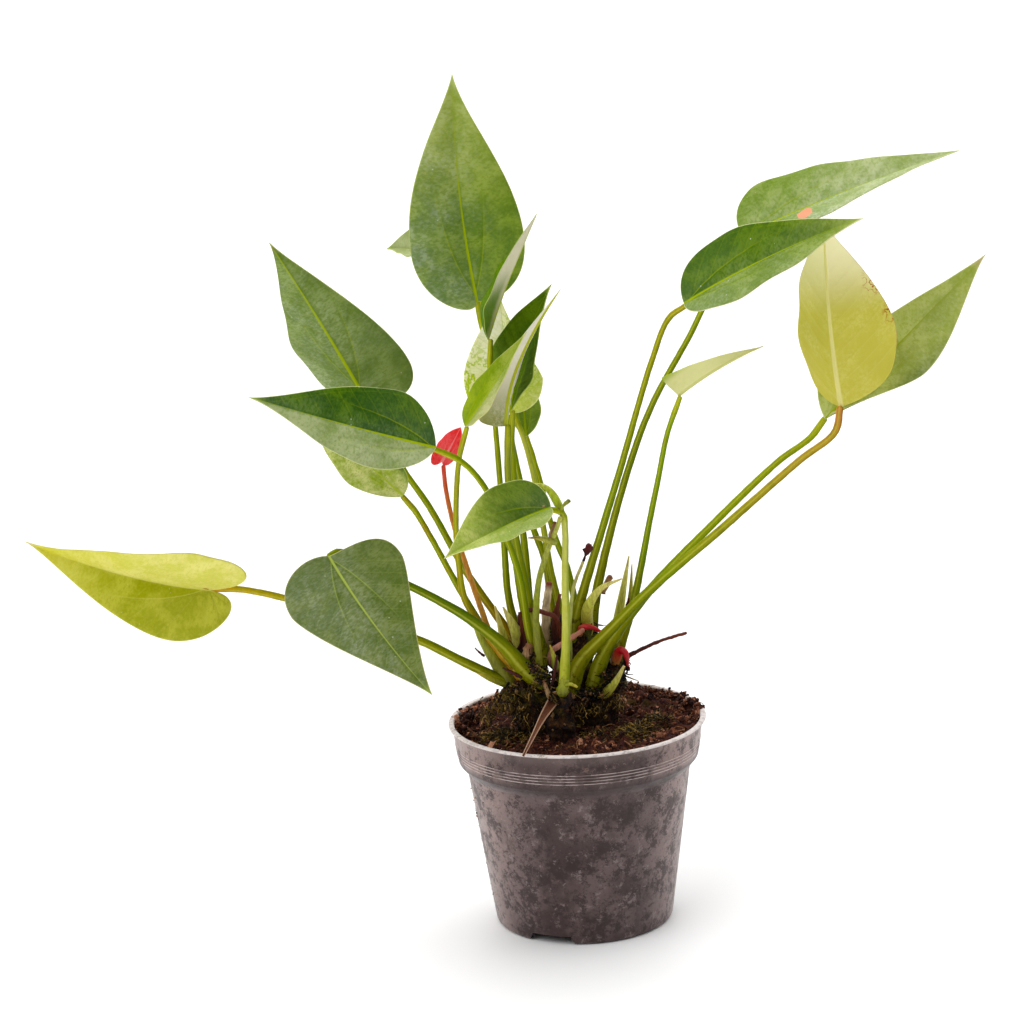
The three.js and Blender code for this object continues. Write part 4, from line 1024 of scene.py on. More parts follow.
class LeafLook(Look):
    """A leaf's skin: clean colours under a painted pale sheen in short strokes, with painted shade in the
    hollows of its wrinkles and beside its veins, and with veins, margin and marks.
    """

    def __init__(self, name, tones):
        super().__init__(f"leaf_{name}")
        self.tones = tones
        self.count, self.off_rib, self.rim = self.field("blade")
        self.share, self.across, self.basal = self.field("place")
        shift = (sum(ord(letter) for letter in name) % 97) * MM
        self.spot = self.node("Mapping", {"Vector": self.place, "Location": (shift, shift, 0)}).outputs[0]
        self.crumbs = self.step(self.noise(1.5, 4, self.spot, 0.7), 0.38, 0.64)
        wrinkled = self.node("CombineXYZ", {
            0: self.times(self.share, WRINKLES["along"]), 1: self.times(self.off_rib, WRINKLES["beside"]),
            2: self.math("MULTIPLY_ADD", self.across, WRINKLES["across"], shift),
        }).outputs[0]
        self.strokes = self.noise(1.3, 4, wrinkled, 0.6)
        self.dark, self.light = tones["dark"], tones["light"]
        # With lean, the halves of a folded blade get a lit and a shaded copy of one green: painted light and
        # shade.
        for key, value in (("lean", self.across), ("run", self.share)):
            if key in tones:
                low, high, (dark, light) = tones[key]
                turned = self.step(value, low, high)
                self.dark, self.light = self.mix(turned, self.dark, dark), self.mix(turned, self.light, light)
        self.clouds = self.step(self.noise(12, 4, self.spot), 0.4, 0.62)
        self.side_vein = self.on_vein(0, 0.07, tones["veins"])
        width = self.step(self.share, 0, 0.9, tones["rib_width"], 0.32)
        self.rib_line = self.step(self.math("SUBTRACT", 1, self.math("DIVIDE", self.off_rib, width)), 0, 0.6)

    def on_vein(self, away, width, strength):
        to_vein = self.from_whole(self.count)
        return self.times(self.near(to_vein, away, width, strength), self.step(self.off_rib, 1, 5))

    def ground(self):
        self.colour = self.mix(self.clouds, self.dark, self.light)
        self.paint(self.times(self.crumbs, 0.4), self.light)
        # Painted shade: the low parts of the strokes, which are the hollows of the wrinkle bumps, are
        # darkened.
        self.paint(self.step(self.strokes, 0.36, 0.5, 0.6, 0), self.dark)
        # Painted sheen: a pale reflection laid on as colour, on the wrinkles' high strokes and in patches, as
        # strong at each rim as the tones' sheen pair says.
        strength = self.step(self.across, -0.9, 0.9, *self.tones["sheen"])
        patches = self.step(self.noise(17, 3, self.spot), 0.4, 0.6, 0.5, 1)
        self.paint(self.times(strength, patches, self.step(self.strokes, 0.46, 0.6, 0.45, 1)), PAINTED_SHEEN)

    def veins(self):
        rib = self.tones["rib"]
        # Painted shade: a dark line beside each side vein, where the vein's groove falls in shadow.
        self.paint(self.on_vein(0.13, 0.11, 0.12), self.dark)
        self.paint(self.side_vein, rib)
        self.paint(self.times(self.near(self.rim, 2.4, 0.4, 0.1), self.step(self.share, 0.05, 0.2)), rib)
        arch = self.step(self.share, 0.2, 0.65, 1, 0)
        # Painted shade inside the arching basal vein, where its fold falls in shadow, and a faint painted
        # sheen outside it.
        self.paint(self.times(self.near(self.basal, -0.6, 0.9, 0.4), arch), self.dark)
        self.paint(self.times(self.step(self.basal, 0, 0.7, 0, 0.015), arch), PAINTED_SHEEN)
        self.paint(self.times(self.near(self.basal, 0.15, 0.4, 0.5), arch), rib)
        # Painted shadow: a dark strip beside the midrib, on the right half only.
        shaded_right_half = self.step(self.across, -0.01, 0.01)
        self.paint(self.times(self.step(self.off_rib, 0.5, 1.9, 0.4, 0), shaded_right_half), self.dark)
        self.paint(self.times(self.rib_line, self.step(self.share, 0.2, 1, 1, 0.55)), rib)

    def margin(self):
        specks = self.flecks(self.tones["speck_gap"], 0.085, (0.55, 0.6), self.spot)
        self.paint(self.times(specks, self.tones["specks"]), SPECK)
        self.paint(self.step(self.share, 0.9, 1.0), self.tones["tip"])
        self.paint(self.step(self.rim, 0.1, 0.45, 0.85, 0), self.tones["edge"])

    def underside(self):
        upper, under = self.colour, self.tones["under"]
        self.colour = self.mix(self.times(self.crumbs, 0.5), under, self.mix(self.clouds, under, self.light))
        self.paint(self.times(self.side_vein, 1.2), self.tones["rib"])
        self.paint(self.step(self.share, *self.tones["under_run"]), self.tones.get("under_tip", under))
        if "under_edge" in self.tones:
            colour, outer, fading = self.tones["under_edge"]
            outside = self.step(self.absolute(self.across), *outer)
            self.paint(self.times(outside, self.step(self.share, *fading, 0.9, 0)), colour)
        self.paint(self.rib_line, self.tones["rib"])
        self.colour = self.mix(self.step(self.field("side")[0], -0.6, 0.0, 1, 0), upper, self.colour)

    def marks(self):
        for (share, across, stretch), wide, colour in self.tones["marks"]:
            gaps = (
                self.times(self.math("SUBTRACT", self.share, share), stretch),
                self.math("SUBTRACT", self.across, across),
            )
            away = self.math("SQRT", self.plus(*(self.times(gap, gap) for gap in gaps)))
            ragged = self.plus(away, self.times(self.noise(2.2, 3, self.spot), 0.09))
            self.paint(self.step(ragged, wide, wide + 0.035, 1, 0), colour)
        for (share, across), (long, wide), strength, thick in self.tones["scribbles"]:
            inside = self.times(self.near(self.share, share, long), self.near(self.across, across, wide))
            lines = self.near(self.noise(3.4, 2, self.spot), 0.5, thick)
            self.paint(self.times(inside, lines, strength), self.tones["ink"])

    def finished(self):
        for layer in (self.ground, self.veins, self.margin, self.underside, self.marks):
            layer()
        gloss = self.tones["gloss"]
        height = self.plus(self.noise(0.8, 2, self.spot), self.noise(2.6, 2, self.spot), self.strokes)
        roughness = self.step(self.noise(5, 3, self.spot), 0.3, 0.75, gloss, gloss + 0.14)
        return self.surface(roughness, height, 0.15, 0.6, IOR=self.tones["ior"])


def make_leaves():
    for leaf in LEAVES:
        name = leaf["name"]
        look = LeafLook(name, {**GREEN, **LEAF_TONES.get(name, {})}).finished()
        slot = LEAF_SLOTS.get(name, "leaf_green")
        blade(leaf, LEAF_GRAIN).piece(f"blade_{name}", look, slot, f"leaf_{name}")


def make_spathe():
    look = LeafLook("spathe", {**GREEN, **SPATHE_TONES}).finished()
    blade(SPATHE, SPATHE_GRAIN).piece("flower_bract", look, "spathe", "spathe")


# Stalks

def stalk_end(leaf):
    """Where the stalk meets the blade's underside."""
    centre, across, outward = (value[0] for value in Midrib(leaf).at(np.zeros(1)))
    low, high = (math.radians(angle) for angle in leaf["lift"])
    tilt, fold = (high - low) / 2, (high + low) / 2
    upper = outward * math.cos(tilt) - across * math.sin(tilt)
    arrival = unit(centre - seen(leaf["stalk"][-1]))
    slant = np.linalg.norm(np.cross(arrival, upper))
    reach = BLADE["solid_thickness"] / 2 + STALK["seat"] + leaf["girth"][1] * slant
    if leaf["face"] * fold < 0:
        reach /= math.cos(fold)
    return centre - upper * leaf["face"] * (reach - STALK["sunk"])


def stalk_radii(leaf, length, share):
    """Half widths: wide at the sheath, drawn in at the foot, with a swollen joint below the blade."""
    foot, tip = leaf["girth"]
    body = min(foot, STALK["body_share"] * tip)
    joint = 0.14 * tip * np.exp(-((((1 - share) * length - 7) / 5) ** 2))
    sheath = np.exp(-share * length / STALK["sheath_length"])
    heel = 1 - 0.35 * np.exp(-share * length / STALK["heel"])
    return (body + (tip - body) * share + (foot - body) * sheath) * heel + joint


def stalk_look(name, foot, body, tip, joint):
    """A stalk's skin: colour along its length, painted shade on its right flank, a pale line left of the
    middle painted as a highlight, fine ribs and flecks.
    """
    look = Look(f"stalk_{name}")
    share, from_tip, flank = look.field("limb")
    streaks = look.noise(1.1, 3, look.stretched(1, 1, 0.16))
    look.colour = look.blend(share, (0.0, foot), (0.16, foot), (0.42, body), (0.9, tip))
    look.paint(look.step(from_tip, 4, 13, 1, 0), joint)
    look.darken(look.step(streaks, 0.35, 0.75, 0, 0.4), (205, 205, 150))
    look.paint(look.step(look.noise(7, 4), 0.5, 0.66, 0, 0.45), foot)
    # Painted shade darkens the right flank, and a painted highlight lays a pale line left of the middle.
    look.darken(look.step(flank, 0.15, 0.8, 0, 0.75), (160, 180, 90))
    look.paint(look.near(flank, -0.3, 0.35, 0.5), (196, 196, 84))
    worn = look.step(look.noise(3.2, 5, rough=0.7), 0.52, 0.6)
    look.paint(look.times(worn, look.step(share, 0.04, 0.2, 0.7, 0)), (62, 48, 24))
    look.paint(look.flecks(2.3, 0.13, (0.6, 0.64, 0, 0.4)), (206, 210, 130))
    return look.surface(look.step(streaks, 0.3, 0.8, 0.4, 0.55), streaks, 0.2, 0.5, IOR=1.1)


OLIVE = dict(foot=(134, 136, 28), body=(134, 150, 8), tip=(152, 164, 20), joint=(168, 172, 48))
STALK_TONES = {
    "far_left": dict(body=(150, 150, 24), tip=(184, 158, 44), joint=(198, 132, 50)),
    "hanging": dict(foot=(124, 126, 22), body=(104, 124, 4), tip=(124, 140, 6)),
    "right_yellow": dict(foot=(124, 122, 22), tip=(184, 150, 60), joint=(206, 138, 76)),
    "left_upper": dict(foot=(156, 124, 40)),
    "left_rear": dict(foot=(168, 122, 42), tip=(152, 164, 24)),
    "young": dict(foot=(174, 126, 46), body=(156, 150, 36), tip=(172, 174, 56)),
    "right_top": dict(body=(118, 130, 4), tip=(140, 152, 26)),
    "right_middle": dict(body=(124, 142, 10), tip=(150, 146, 30), joint=(160, 150, 46)),
    "front_small": dict(foot=(176, 180, 66), body=(198, 200, 104), tip=(202, 204, 112)),
    "netted": dict(body=(156, 162, 50), tip=(190, 192, 88)),
    "grey": dict(body=(132, 144, 40), tip=(154, 160, 60)),
    "right_small": dict(body=(124, 146, 6), tip=(136, 158, 12)),
}


def make_stalks():
    for leaf in LEAVES:
        name = leaf["name"]
        skin = Skin()
        places = [*(seen(place) for place in leaf["stalk"]), stalk_end(leaf)]
        route, length = smooth_route(places, STALK["step"])
        share = np.linspace(0, 1, len(route))
        flat = 1 - (1 - STALK["flat"]) * np.exp(-share * length / STALK["sheath_length"])
        radii = stalk_radii(leaf, length, share)
        tube(skin, route, radii, STALK["sides"], flat, STALK["rough"], len(name))
        look = stalk_look(name, **{**OLIVE, **STALK_TONES.get(name, {})})
        skin.piece(f"petiole_{name}", look, "stalk_green", f"stalk_{name}")


# Pot

def rounded(profile, radius, turns=4):
    """The profile with an arc of the radius at each inner corner."""
    points = [np.array(point, float) for point in profile]
    out = [points[0]]
    for before, corner, after in zip(points, points[1:], points[2:]):
        reach = min(radius, *(0.45 * np.linalg.norm(end - corner) for end in (before, after)))
        start, end = (corner + unit(side - corner) * reach for side in (before, after))
        for t in np.linspace(0, 1, turns):
            out.append((1 - t) ** 2 * start + 2 * (1 - t) * t * corner + t**2 * end)
    return [*out, points[-1]]


def inner_wall():
    slope = (POT["shoulder_radius"] - POT["foot_radius"]) / POT["shoulder"]
    return [
        (POT["foot_radius"] + slope * POT["floor"] - POT["wall"], POT["floor"]),
        (POT["shoulder_radius"] - POT["wall"], POT["shoulder"] + POT["edge"]),
        (POT["collar_foot_radius"] - POT["wall"], POT["collar_foot"] + POT["edge"]),
        (POT["collar_top_radius"] - POT["wall"], POT["height"] - POT["edge"]),
    ]


def inner_radius_at(z):
    (low_radius, low), (high_radius, high) = inner_wall()[-2:]
    return low_radius + (high_radius - low_radius) * (z - low) / (high - low)


def collar_radius_at(z):
    share = (z - POT["collar_foot"]) / (POT["height"] - POT["lip_height"] - POT["collar_foot"])
    return POT["collar_foot_radius"] + (POT["collar_top_radius"] - POT["collar_foot_radius"]) * share


def collar_rings():
    out = []
    height = COLLAR_RINGS["height"]
    for i in range(COLLAR_RINGS["count"]):
        z = COLLAR_RINGS["first"] + i * COLLAR_RINGS["pitch"]
        out += [
            (collar_radius_at(z), z), (collar_radius_at(z) + COLLAR_RINGS["relief"], z + height / 2),
            (collar_radius_at(z + height), z + height),
        ]
    return out


def pot_profile():
    top, edge, foot, turn = POT["height"], POT["edge"], POT["foot_radius"], POT["foot_round"]
    ring_inside, lip_foot = foot - POT["ring_width"], top - POT["lip_height"]
    return rounded([
        (0, 0), (POT["disc_radius"], 0), (POT["disc_radius"], POT["recess"]), (ring_inside, POT["recess"]),
        (ring_inside, 0), (foot - turn, 0), (foot - turn / 3, turn / 3), (foot, turn),
        (POT["shoulder_radius"], POT["shoulder"]), (POT["collar_foot_radius"], POT["collar_foot"]),
        *collar_rings(), (POT["collar_top_radius"], lip_foot), (POT["lip_radius"], lip_foot + edge),
        (POT["lip_radius"], top - edge), (POT["lip_radius"] - edge, top),
        (POT["collar_top_radius"] - POT["wall"] + edge, top), *reversed(inner_wall()), (0, POT["floor"]),
    ], edge)


def closed_lathe(skin, profile, sides):
    """Turns a profile that starts and ends on the axis into a closed skin. A height may be one per side."""
    turns = around(sides)
    points = [[(0, 0, profile[0][1])]]
    for radius, z in profile[1:-1]:
        heights = np.broadcast_to(z, (sides,))
        points.append(np.stack([radius * np.cos(turns), radius * np.sin(turns), heights], 1))
    points.append([(0, 0, profile[-1][1])])
    skin.add(np.vstack(points), closed_faces(len(profile) - 2, sides))


def cutter(name, outline, low, high, place):
    """A prism to cut with: outline in two axes, from low to high on the third."""
    count = len(outline)
    points = [place(a, b, end) for end in (low, high) for a, b in outline]
    faces = [tuple(range(count)), tuple(range(2 * count - 1, count - 1, -1))]
    faces += [(i, (i + 1) % count, count + (i + 1) % count, count + i) for i in range(count)]
    mesh = bpy.data.meshes.new(name)
    mesh.from_pydata((np.array(points) * MM).tolist(), [], faces)
    work = bmesh.new()
    work.from_mesh(mesh)
    bmesh.ops.recalc_face_normals(work, faces=work.faces)
    work.to_mesh(mesh)
    work.free()
    return linked(name, mesh)


def pot_cutters():
    half_foot, half_top, height = NOTCHES["foot_width"] / 2, NOTCHES["top_width"] / 2, NOTCHES["height"]
    outline = ((-half_foot, -1), (half_foot, -1), (half_top, height), (-half_top, height))
    ends = (POT["foot_radius"] - NOTCHES["reach"], POT["foot_radius"] + NOTCHES["reach"])
    for i in range(NOTCHES["count"]):
        x, y = polar(1, math.radians(NOTCHES["first"] + 360 / NOTCHES["count"] * i))
        yield cutter(f"notch_{i}", outline, *ends, lambda a, z, r: (x * r - y * a, y * r + x * a, z))
    turns = around(DRAIN_HOLES["sides"])
    for i in range(DRAIN_HOLES["count"]):
        centre = polar(DRAIN_HOLES["circle"], 2 * math.pi * (i + 0.5) / DRAIN_HOLES["count"])
        outline = centre + DRAIN_HOLES["radius"] * np.stack([np.cos(turns), np.sin(turns)], 1)
        yield cutter(f"drain_{i}", outline, -1, 2 * POT["floor"], lambda a, b, z: (a, b, z))


def pot_look():
    """Dark plastic with ragged dark patches, specks, pale patches, ring lines and stains. Painted reflection
    lightens its left and right sides, painted highlights lie on the ring crests and the lip, and painted
    shade darkens the collar's middle and a band round the collar's foot.
    """
    look = Look("nursery_pot")
    x, _, height = look.split(look.place)
    top, foot = POT["height"], POT["collar_foot"]

    def rise(low, high, *ends):
        """A step between two heights in millimetres."""
        return look.step(height, low * MM, high * MM, *ends)

    look.colour = look.mix(look.step(look.noise(20, 4), 0.35, 0.65), (64, 50, 49), (98, 82, 81))
    # Painted reflection: the pot is lighter towards its left and right sides, where the white studio is seen
    # at a grazing angle.
    look.paint(look.step(look.absolute(x), 24 * MM, 50 * MM, 0, 0.62), (170, 144, 138))
    # Painted shade: the collar is darker across the middle of its width, opposite the painted reflections at
    # the sides.
    collar = rise(foot - 0.6, foot + 1)
    shaded_middle = look.step(look.absolute(look.plus(x, 8 * MM)), 18 * MM, 46 * MM, 0.5, 0)
    look.paint(look.times(collar, shaded_middle), (66, 50, 47))
    worn = look.plus(look.noise(11, 9, rough=0.86), look.step(collar, 0, 1, 0, -0.02))
    look.paint(look.step(worn, 0.49, 0.54, 0, 0.8), (52, 41, 41))
    look.paint(look.step(look.noise(2.6, 7, rough=0.85), 0.54, 0.6, 0, 0.6), (56, 42, 40))
    look.paint(look.step(look.noise(6, 8, rough=0.85), 0.55, 0.62, 0, 0.45), (152, 136, 134))
    look.paint(rise(top - 7, top - 2, 0, 0.15), (170, 150, 144))
    # Painted shade: a dark band round the collar's foot, on the slope under the collar's step.
    look.paint(look.near(height, (foot - 1) * MM, 5 * MM, 0.9), (58, 46, 46))
    first = (COLLAR_RINGS["first"] + COLLAR_RINGS["height"] / 2) * MM
    rings = look.math("DIVIDE", look.math("SUBTRACT", height, first), COLLAR_RINGS["pitch"] * MM)
    ringed = look.times(look.step(rings, -0.4, -0.3), look.step(rings, 3.3, 3.4, 1, 0))
    # Painted highlights: pale lines along the crests of the collar's rings, broken up by noise.
    crest_highlight = look.step(look.noise(5, 3), 0.4, 0.55, 0.25, 0.8)
    look.paint(look.times(look.near(look.from_whole(rings), 0, 0.2), ringed, crest_highlight), (206, 190, 186))
    # Painted highlight: a pale, patchy band along the lip's top edge.
    lip_highlight_patches = look.step(look.noise(2.5, 4), 0.4, 0.5, 0.6, 0.9)
    look.paint(look.times(rise(top - 1.2, top - 0.7), lip_highlight_patches), (216, 206, 203))
    stains = look.step(look.noise(6, 5, rough=0.65), 0.6, 0.66)
    look.paint(look.times(stains, rise(84, 95, 0, 0.75)), (100, 62, 40))
    return look.surface(
        look.step(worn, 0.45, 0.6, 0.4, 0.6), look.plus(look.noise(0.9, 3), look.noise(4, 3)), 0.1, 0.4,
        Specular_IOR_Level=0.4, Sheen_Weight=0.2, Sheen_Roughness=0.4,
    )


def make_pot():
    skin = Skin()
    closed_lathe(skin, pot_profile(), POT["sides"])
    pot = skin.piece("pot_wall", pot_look(), "pot", "pot")
    tools = list(pot_cutters())
    for tool in tools:
        cut = pot.modifiers.new(tool.name, "BOOLEAN")
        cut.object = tool
        cut.operation = "DIFFERENCE"
        cut.solver = "EXACT"
    shaped = bake(pot)
    for tool in tools:
        bpy.data.objects.remove(tool)
    shaped.set_sharp_from_angle(angle=math.radians(35))


# Soil

def soil_height(x, y):
    waves = sum(w["height"] * np.sin(w["x"] * x + w["y"] * y + w["phase"]) for w in SOIL_WAVES)
    return SOIL["level"] + SOIL["rise"] * y + SOIL["relief"] * waves


def crumbly(x, y):
    """Extra height of the soil's crumbs, in millimetres."""
    spot = Vector((x / 4.2, y / 4.2, 0))
    lumps = noise.fractal(spot, 0.9, 2.1, 4)
    grains = 0.5 - noise.voronoi(spot * 2.1)[0][0]
    back = min(max((y + 8) / 30, 0), 1) * min(max((math.hypot(x, y) - 36) / 20, 0), 1)
    return 1.3 * lumps + 1.3 * grains + SOIL["heap"] * back


def ground(x, y):
    return soil_height(x, y) + crumbly(x, y)


def soil_look():
    """Damp peat: dark brown crumbs, reddish fibres, ochre and moss-green patches."""
    look = Look("peat")
    grains = look.noise(1.3, 5, rough=0.7)
    # The grain noise also sets the bumps: its dark end, in the hollows, is partly the peat's own dark crumbs
    # and partly painted shade.
    look.colour = look.blend(
        grains, (0.3, (34, 22, 17)), (0.5, (62, 39, 30)), (0.64, (98, 61, 46)), (0.78, (146, 98, 76)),
    )
    reddish = look.mix(grains, (44, 26, 19), (104, 60, 45))
    mossy = look.mix(grains, (48, 44, 14), (112, 104, 40))
    look.paint(look.step(look.noise(7, 3), 0.5, 0.66, 0, 0.5), reddish)
    look.paint(look.step(look.noise(15, 3), 0.58, 0.7, 0, 0.4), mossy)
    return look.surface(0.92, look.plus(grains, look.noise(0.5, 3)), 0.5, 0.9, Specular_IOR_Level=0.25)


def make_soil():
    sides, rings = SOIL["sides"], SOIL["rings"]
    turns = around(sides)
    top = inner_radius_at(SOIL["level"] - SOIL["dip"]) - SOIL["gap"]
    walls = [(radius - SOIL["gap"], z + SOIL["gap"]) for radius, z in inner_wall()[:-1]]
    profile = [(0, walls[0][1]), *walls]
    for ring in range(rings, 0, -1):
        radius = top * ring / rings
        x, y = radius * np.cos(turns), radius * np.sin(turns)
        profile.append((radius, soil_height(x, y) + [crumbly(*spot) for spot in zip(x, y)]))
    skin = Skin()
    closed_lathe(skin, [*profile, (0, soil_height(0, 0))], sides)
    skin.piece("soil_bed", soil_look(), "soil", "soil")


# Loose bits

def ball(subdivisions):
    """Points and faces of a small round form to knock out of shape."""
    work = bmesh.new()
    bmesh.ops.create_icosphere(work, subdivisions=subdivisions, radius=1)
    points = np.array([vertex.co for vertex in work.verts])
    faces = [tuple(vertex.index for vertex in face.verts) for face in work.faces]
    work.free()
    return points, faces


FINE_GRAIN = 1.12
BALL, GRAIN = ball(2), ball(1)
SQUAT = (1, 0.8, 0.6)


def crumb(skin, chance, centre, size, shape, tint):
    """Adds one rough grain: its size in millimetres, its three proportions and its place in the colours."""
    points, faces = BALL if size > FINE_GRAIN else GRAIN
    shift = Vector((chance.uniform(0, 99), 0, 0))
    knocked = np.array([1 + noise.noise(Vector(point) * 1.9 + shift) for point in points])
    turn = np.linalg.qr(np.array([[chance.gauss(0, 1) for _ in range(3)] for _ in range(3)]))[0]
    skin.add(points * knocked[:, None] * np.array(shape) @ turn * size + centre, faces, tint=(tint, 0, 0))


def strand(skin, chance, places, step, thick, tip=0.4, sides=4, lean=1):
    """Adds a thin strand through the places, with a half width in the range thick and a narrower tip."""
    route, _ = smooth_route(places, step)
    radius = chance.uniform(*thick)
    radii = np.linspace(radius, tip * radius, len(route))
    tube(skin, route, radii, sides, tint=(chance.random() ** lean, 0, 0))


def scattered(chance, middle, *spreads):
    """A random place round the middle, by its spreads along x, y and, where it has one, z."""
    return middle + np.array([*(chance.gauss(0, spread) for spread in spreads), 0][:3])


def clod(skin, chance, middle, spread, count, low, high):
    """Adds a loose heap of grains whose sizes go from low to high."""
    for _ in range(count):
        place = scattered(chance, middle, spread, spread, 0.6 * spread)
        shape = (1, chance.uniform(0.5, 1), chance.uniform(0.4, 0.9))
        size = low + (high - low) * chance.random() ** 2
        crumb(skin, chance, place, size, shape, chance.random() ** 1.4)


def on_soil(chance):
    """A random place on the soil's top."""
    radius = (inner_radius_at(SOIL["level"]) - 1.2) * math.sqrt(chance.random())
    x, y = polar(radius, chance.uniform(0, 2 * math.pi))
    return np.array([x, y, ground(x, y)])


def crumb_look(name, *stops, roughness=0.9):
    """Grains whose colour follows their own tint value."""
    look = Look(name)
    shade = look.plus(look.field("tint")[0], look.step(look.noise(0.9, 4, rough=0.7), 0.3, 0.7, -0.14, 0.14))
    look.colour = look.blend(shade, *stops)
    return look.surface(roughness, look.noise(0.5, 4), 0.3, 0.8, Specular_IOR_Level=0.3)


def bark_bit(skin, chance):
    place = on_soil(chance) + (0, 0, 0.6)
    shape = (chance.uniform(2.2, 4.2), chance.uniform(0.7, 1.3), chance.uniform(0.25, 0.5))
    crumb(skin, chance, place, chance.uniform(0.8, 1.4), shape, chance.uniform(0.4, 1))


def rear_heap(skin, chance):
    """A clod in the soil that is heaped against the wall, highest at 40 degrees, behind on the right."""
    inside = inner_radius_at(POT["height"])
    turn = math.radians(chance.uniform(-8, 186))
    radius = inside - 0.8 - 9 * chance.random() ** 1.6
    x, y = polar(radius, turn)
    low = soil_height(x, y)
    heap = 1.6 * math.exp(-((math.degrees(turn) - 40) / 34) ** 2)
    high = POT["height"] + heap + 1.1 * math.sin(7 * turn) - 0.16 * (inside - radius)
    clod(skin, chance, np.array([x, y, chance.uniform(min(low, high - 1), high)]), 0.8, 7, 0.3, 1.5)


def wall_speck(skin, chance):
    """A grain that clings to the outside of the pot, on its left."""
    turn, height = math.radians(chance.gauss(188, 9)), chance.uniform(14, 66)
    slope = (POT["shoulder_radius"] - POT["foot_radius"]) / POT["shoulder"]
    radius = POT["foot_radius"] + slope * height + 0.05
    size = 0.2 + 0.5 * chance.random() ** 2
    crumb(skin, chance, (*polar(radius, turn), height), size, SQUAT, chance.random())


def make_crumbs():
    chance = random.Random(11)
    skin = Skin()
    for _ in range(420):
        clod(skin, chance, on_soil(chance) + (0, 0, 0.1), 1.1, 7, 0.3, 1.4)
    for _ in range(46):
        bark_bit(skin, chance)
    for _ in range(300):
        rear_heap(skin, chance)
    for *place, spread, count in RIM_CLODS:
        clod(skin, chance, seen_level(*place), spread, count, 0.3, 1.2)
    for _ in range(40):
        wall_speck(skin, chance)
    stops = ((0.05, (50, 32, 25)), (0.5, (90, 56, 43)), (0.8, (138, 88, 68)), (0.97, (186, 136, 110)))
    skin.piece("soil_crumbs", crumb_look("soil_crumbs", *stops), "soil", smooth=False)


def cushion_spots(chance, middle, reach, spread, count, heap):
    """Random places on the soil round the middle of a cushion, with the soil's height and the moss's."""
    for _ in range(count):
        x, y = middle[0] + chance.gauss(0, spread), middle[1] + chance.gauss(0, spread)
        if math.hypot(x, y) <= inner_radius_at(SOIL["level"]) - 1.8:
            away = math.hypot(x - middle[0], y - middle[1]) / reach
            yield x, y, ground(x, y), heap * math.exp(-3 * away**2)


def make_moss():
    """Curly strands in loose cushions, and some that hang from the old stems."""
    chance = random.Random(23)
    skin = Skin()
    for *place, spread, count in MOSS_HANGS:
        middle = seen(place)
        for _ in range(count):
            start = scattered(chance, middle, spread, spread, spread)
            fall = np.array([chance.gauss(0, 0.6), chance.gauss(-0.3, 0.4), -chance.uniform(0.4, 1.6)])
            bend = scattered(chance, 0, 0.5, 0.4, 0.3)
            strand(skin, chance, [start, start + fall + bend, start + 2 * fall], 1.1, (0.16, 0.34))
    for *place, reach, count in MOSS_BEDS:
        middle = seen(place)
        for x, y, low, lift in cushion_spots(chance, middle, reach, reach / 3, count // 3, 2.6):
            spot = (x, y, low + chance.uniform(-0.4, lift))
            crumb(skin, chance, spot, chance.uniform(0.5, 0.98), (1, 0.8, 0.7), chance.random() ** 1.5)
        for x, y, low, lift in cushion_spots(chance, middle, reach, reach / 2.6, count, 3.4):
            foot = np.array([x, y, low - 0.3 + chance.uniform(0, lift)])
            turn, size = chance.uniform(0, 6.3), chance.uniform(1.4, 3.4)
            way = np.array([*polar(1, turn), chance.uniform(-0.1, 0.9)])
            curl = np.array([-math.sin(turn), math.cos(turn), chance.uniform(-0.6, 0.6)])
            curl *= chance.choice((-1, 1))
            bends = ((0, 0), (0.5, 0.15), (0.8, 0.6))
            places = [foot + way * size * on + curl * size * aside for on, aside in bends]
            strand(skin, chance, places, size / 3, (0.18, 0.36))
    stops = ((0.05, (42, 32, 15)), (0.5, (82, 66, 28)), (0.8, (120, 98, 42)), (0.97, (164, 132, 78)))
    skin.piece("moss_tufts", crumb_look("moss", *stops, roughness=0.8), "soil")


def make_fibres():
    """Thin roots that lie on the soil."""
    chance = random.Random(5)
    skin = Skin()
    limit = inner_radius_at(SOIL["level"]) - 1
    for _ in range(140):
        start = on_soil(chance)
        turn, reach = chance.uniform(0, 6.3), chance.uniform(4, 15)
        way = np.array([*polar(1, turn), 0])
        places = []
        for share in (0, 0.33, 0.66, 1):
            spot = scattered(chance, start + way * reach * share, 0.8, 0.8)
            spot[:2] *= min(1, limit / math.hypot(*spot[:2]))
            spot[2] = soil_height(*spot[:2]) + 0.7 + chance.uniform(-0.6, 1.2)
            places.append(spot)
        strand(skin, chance, places, 1.6, (0.1, 0.26), 0.6, 5)
    stops = ((0.05, (66, 36, 24)), (0.5, (104, 62, 42)), (0.95, (166, 122, 84)))
    skin.piece("soil_fibres", crumb_look("root_fibres", *stops, roughness=0.7), "root")


# Rhizome

def knock(mesh, height):
    """Moves each point of a mesh along its normal by the height there, in millimetres."""
    places, normals = (np.empty(3 * len(mesh.vertices), np.float32) for _ in range(2))
    mesh.vertices.foreach_get("co", places)
    mesh.vertex_normals.foreach_get("vector", normals)
    places, normals = places.reshape(-1, 3), normals.reshape(-1, 3)
    heights = np.array([height(Vector(place / MM)) for place in places])
    mesh.vertices.foreach_set("co", (places + normals * heights[:, None] * MM).astype(np.float32).ravel())
    mesh.update()


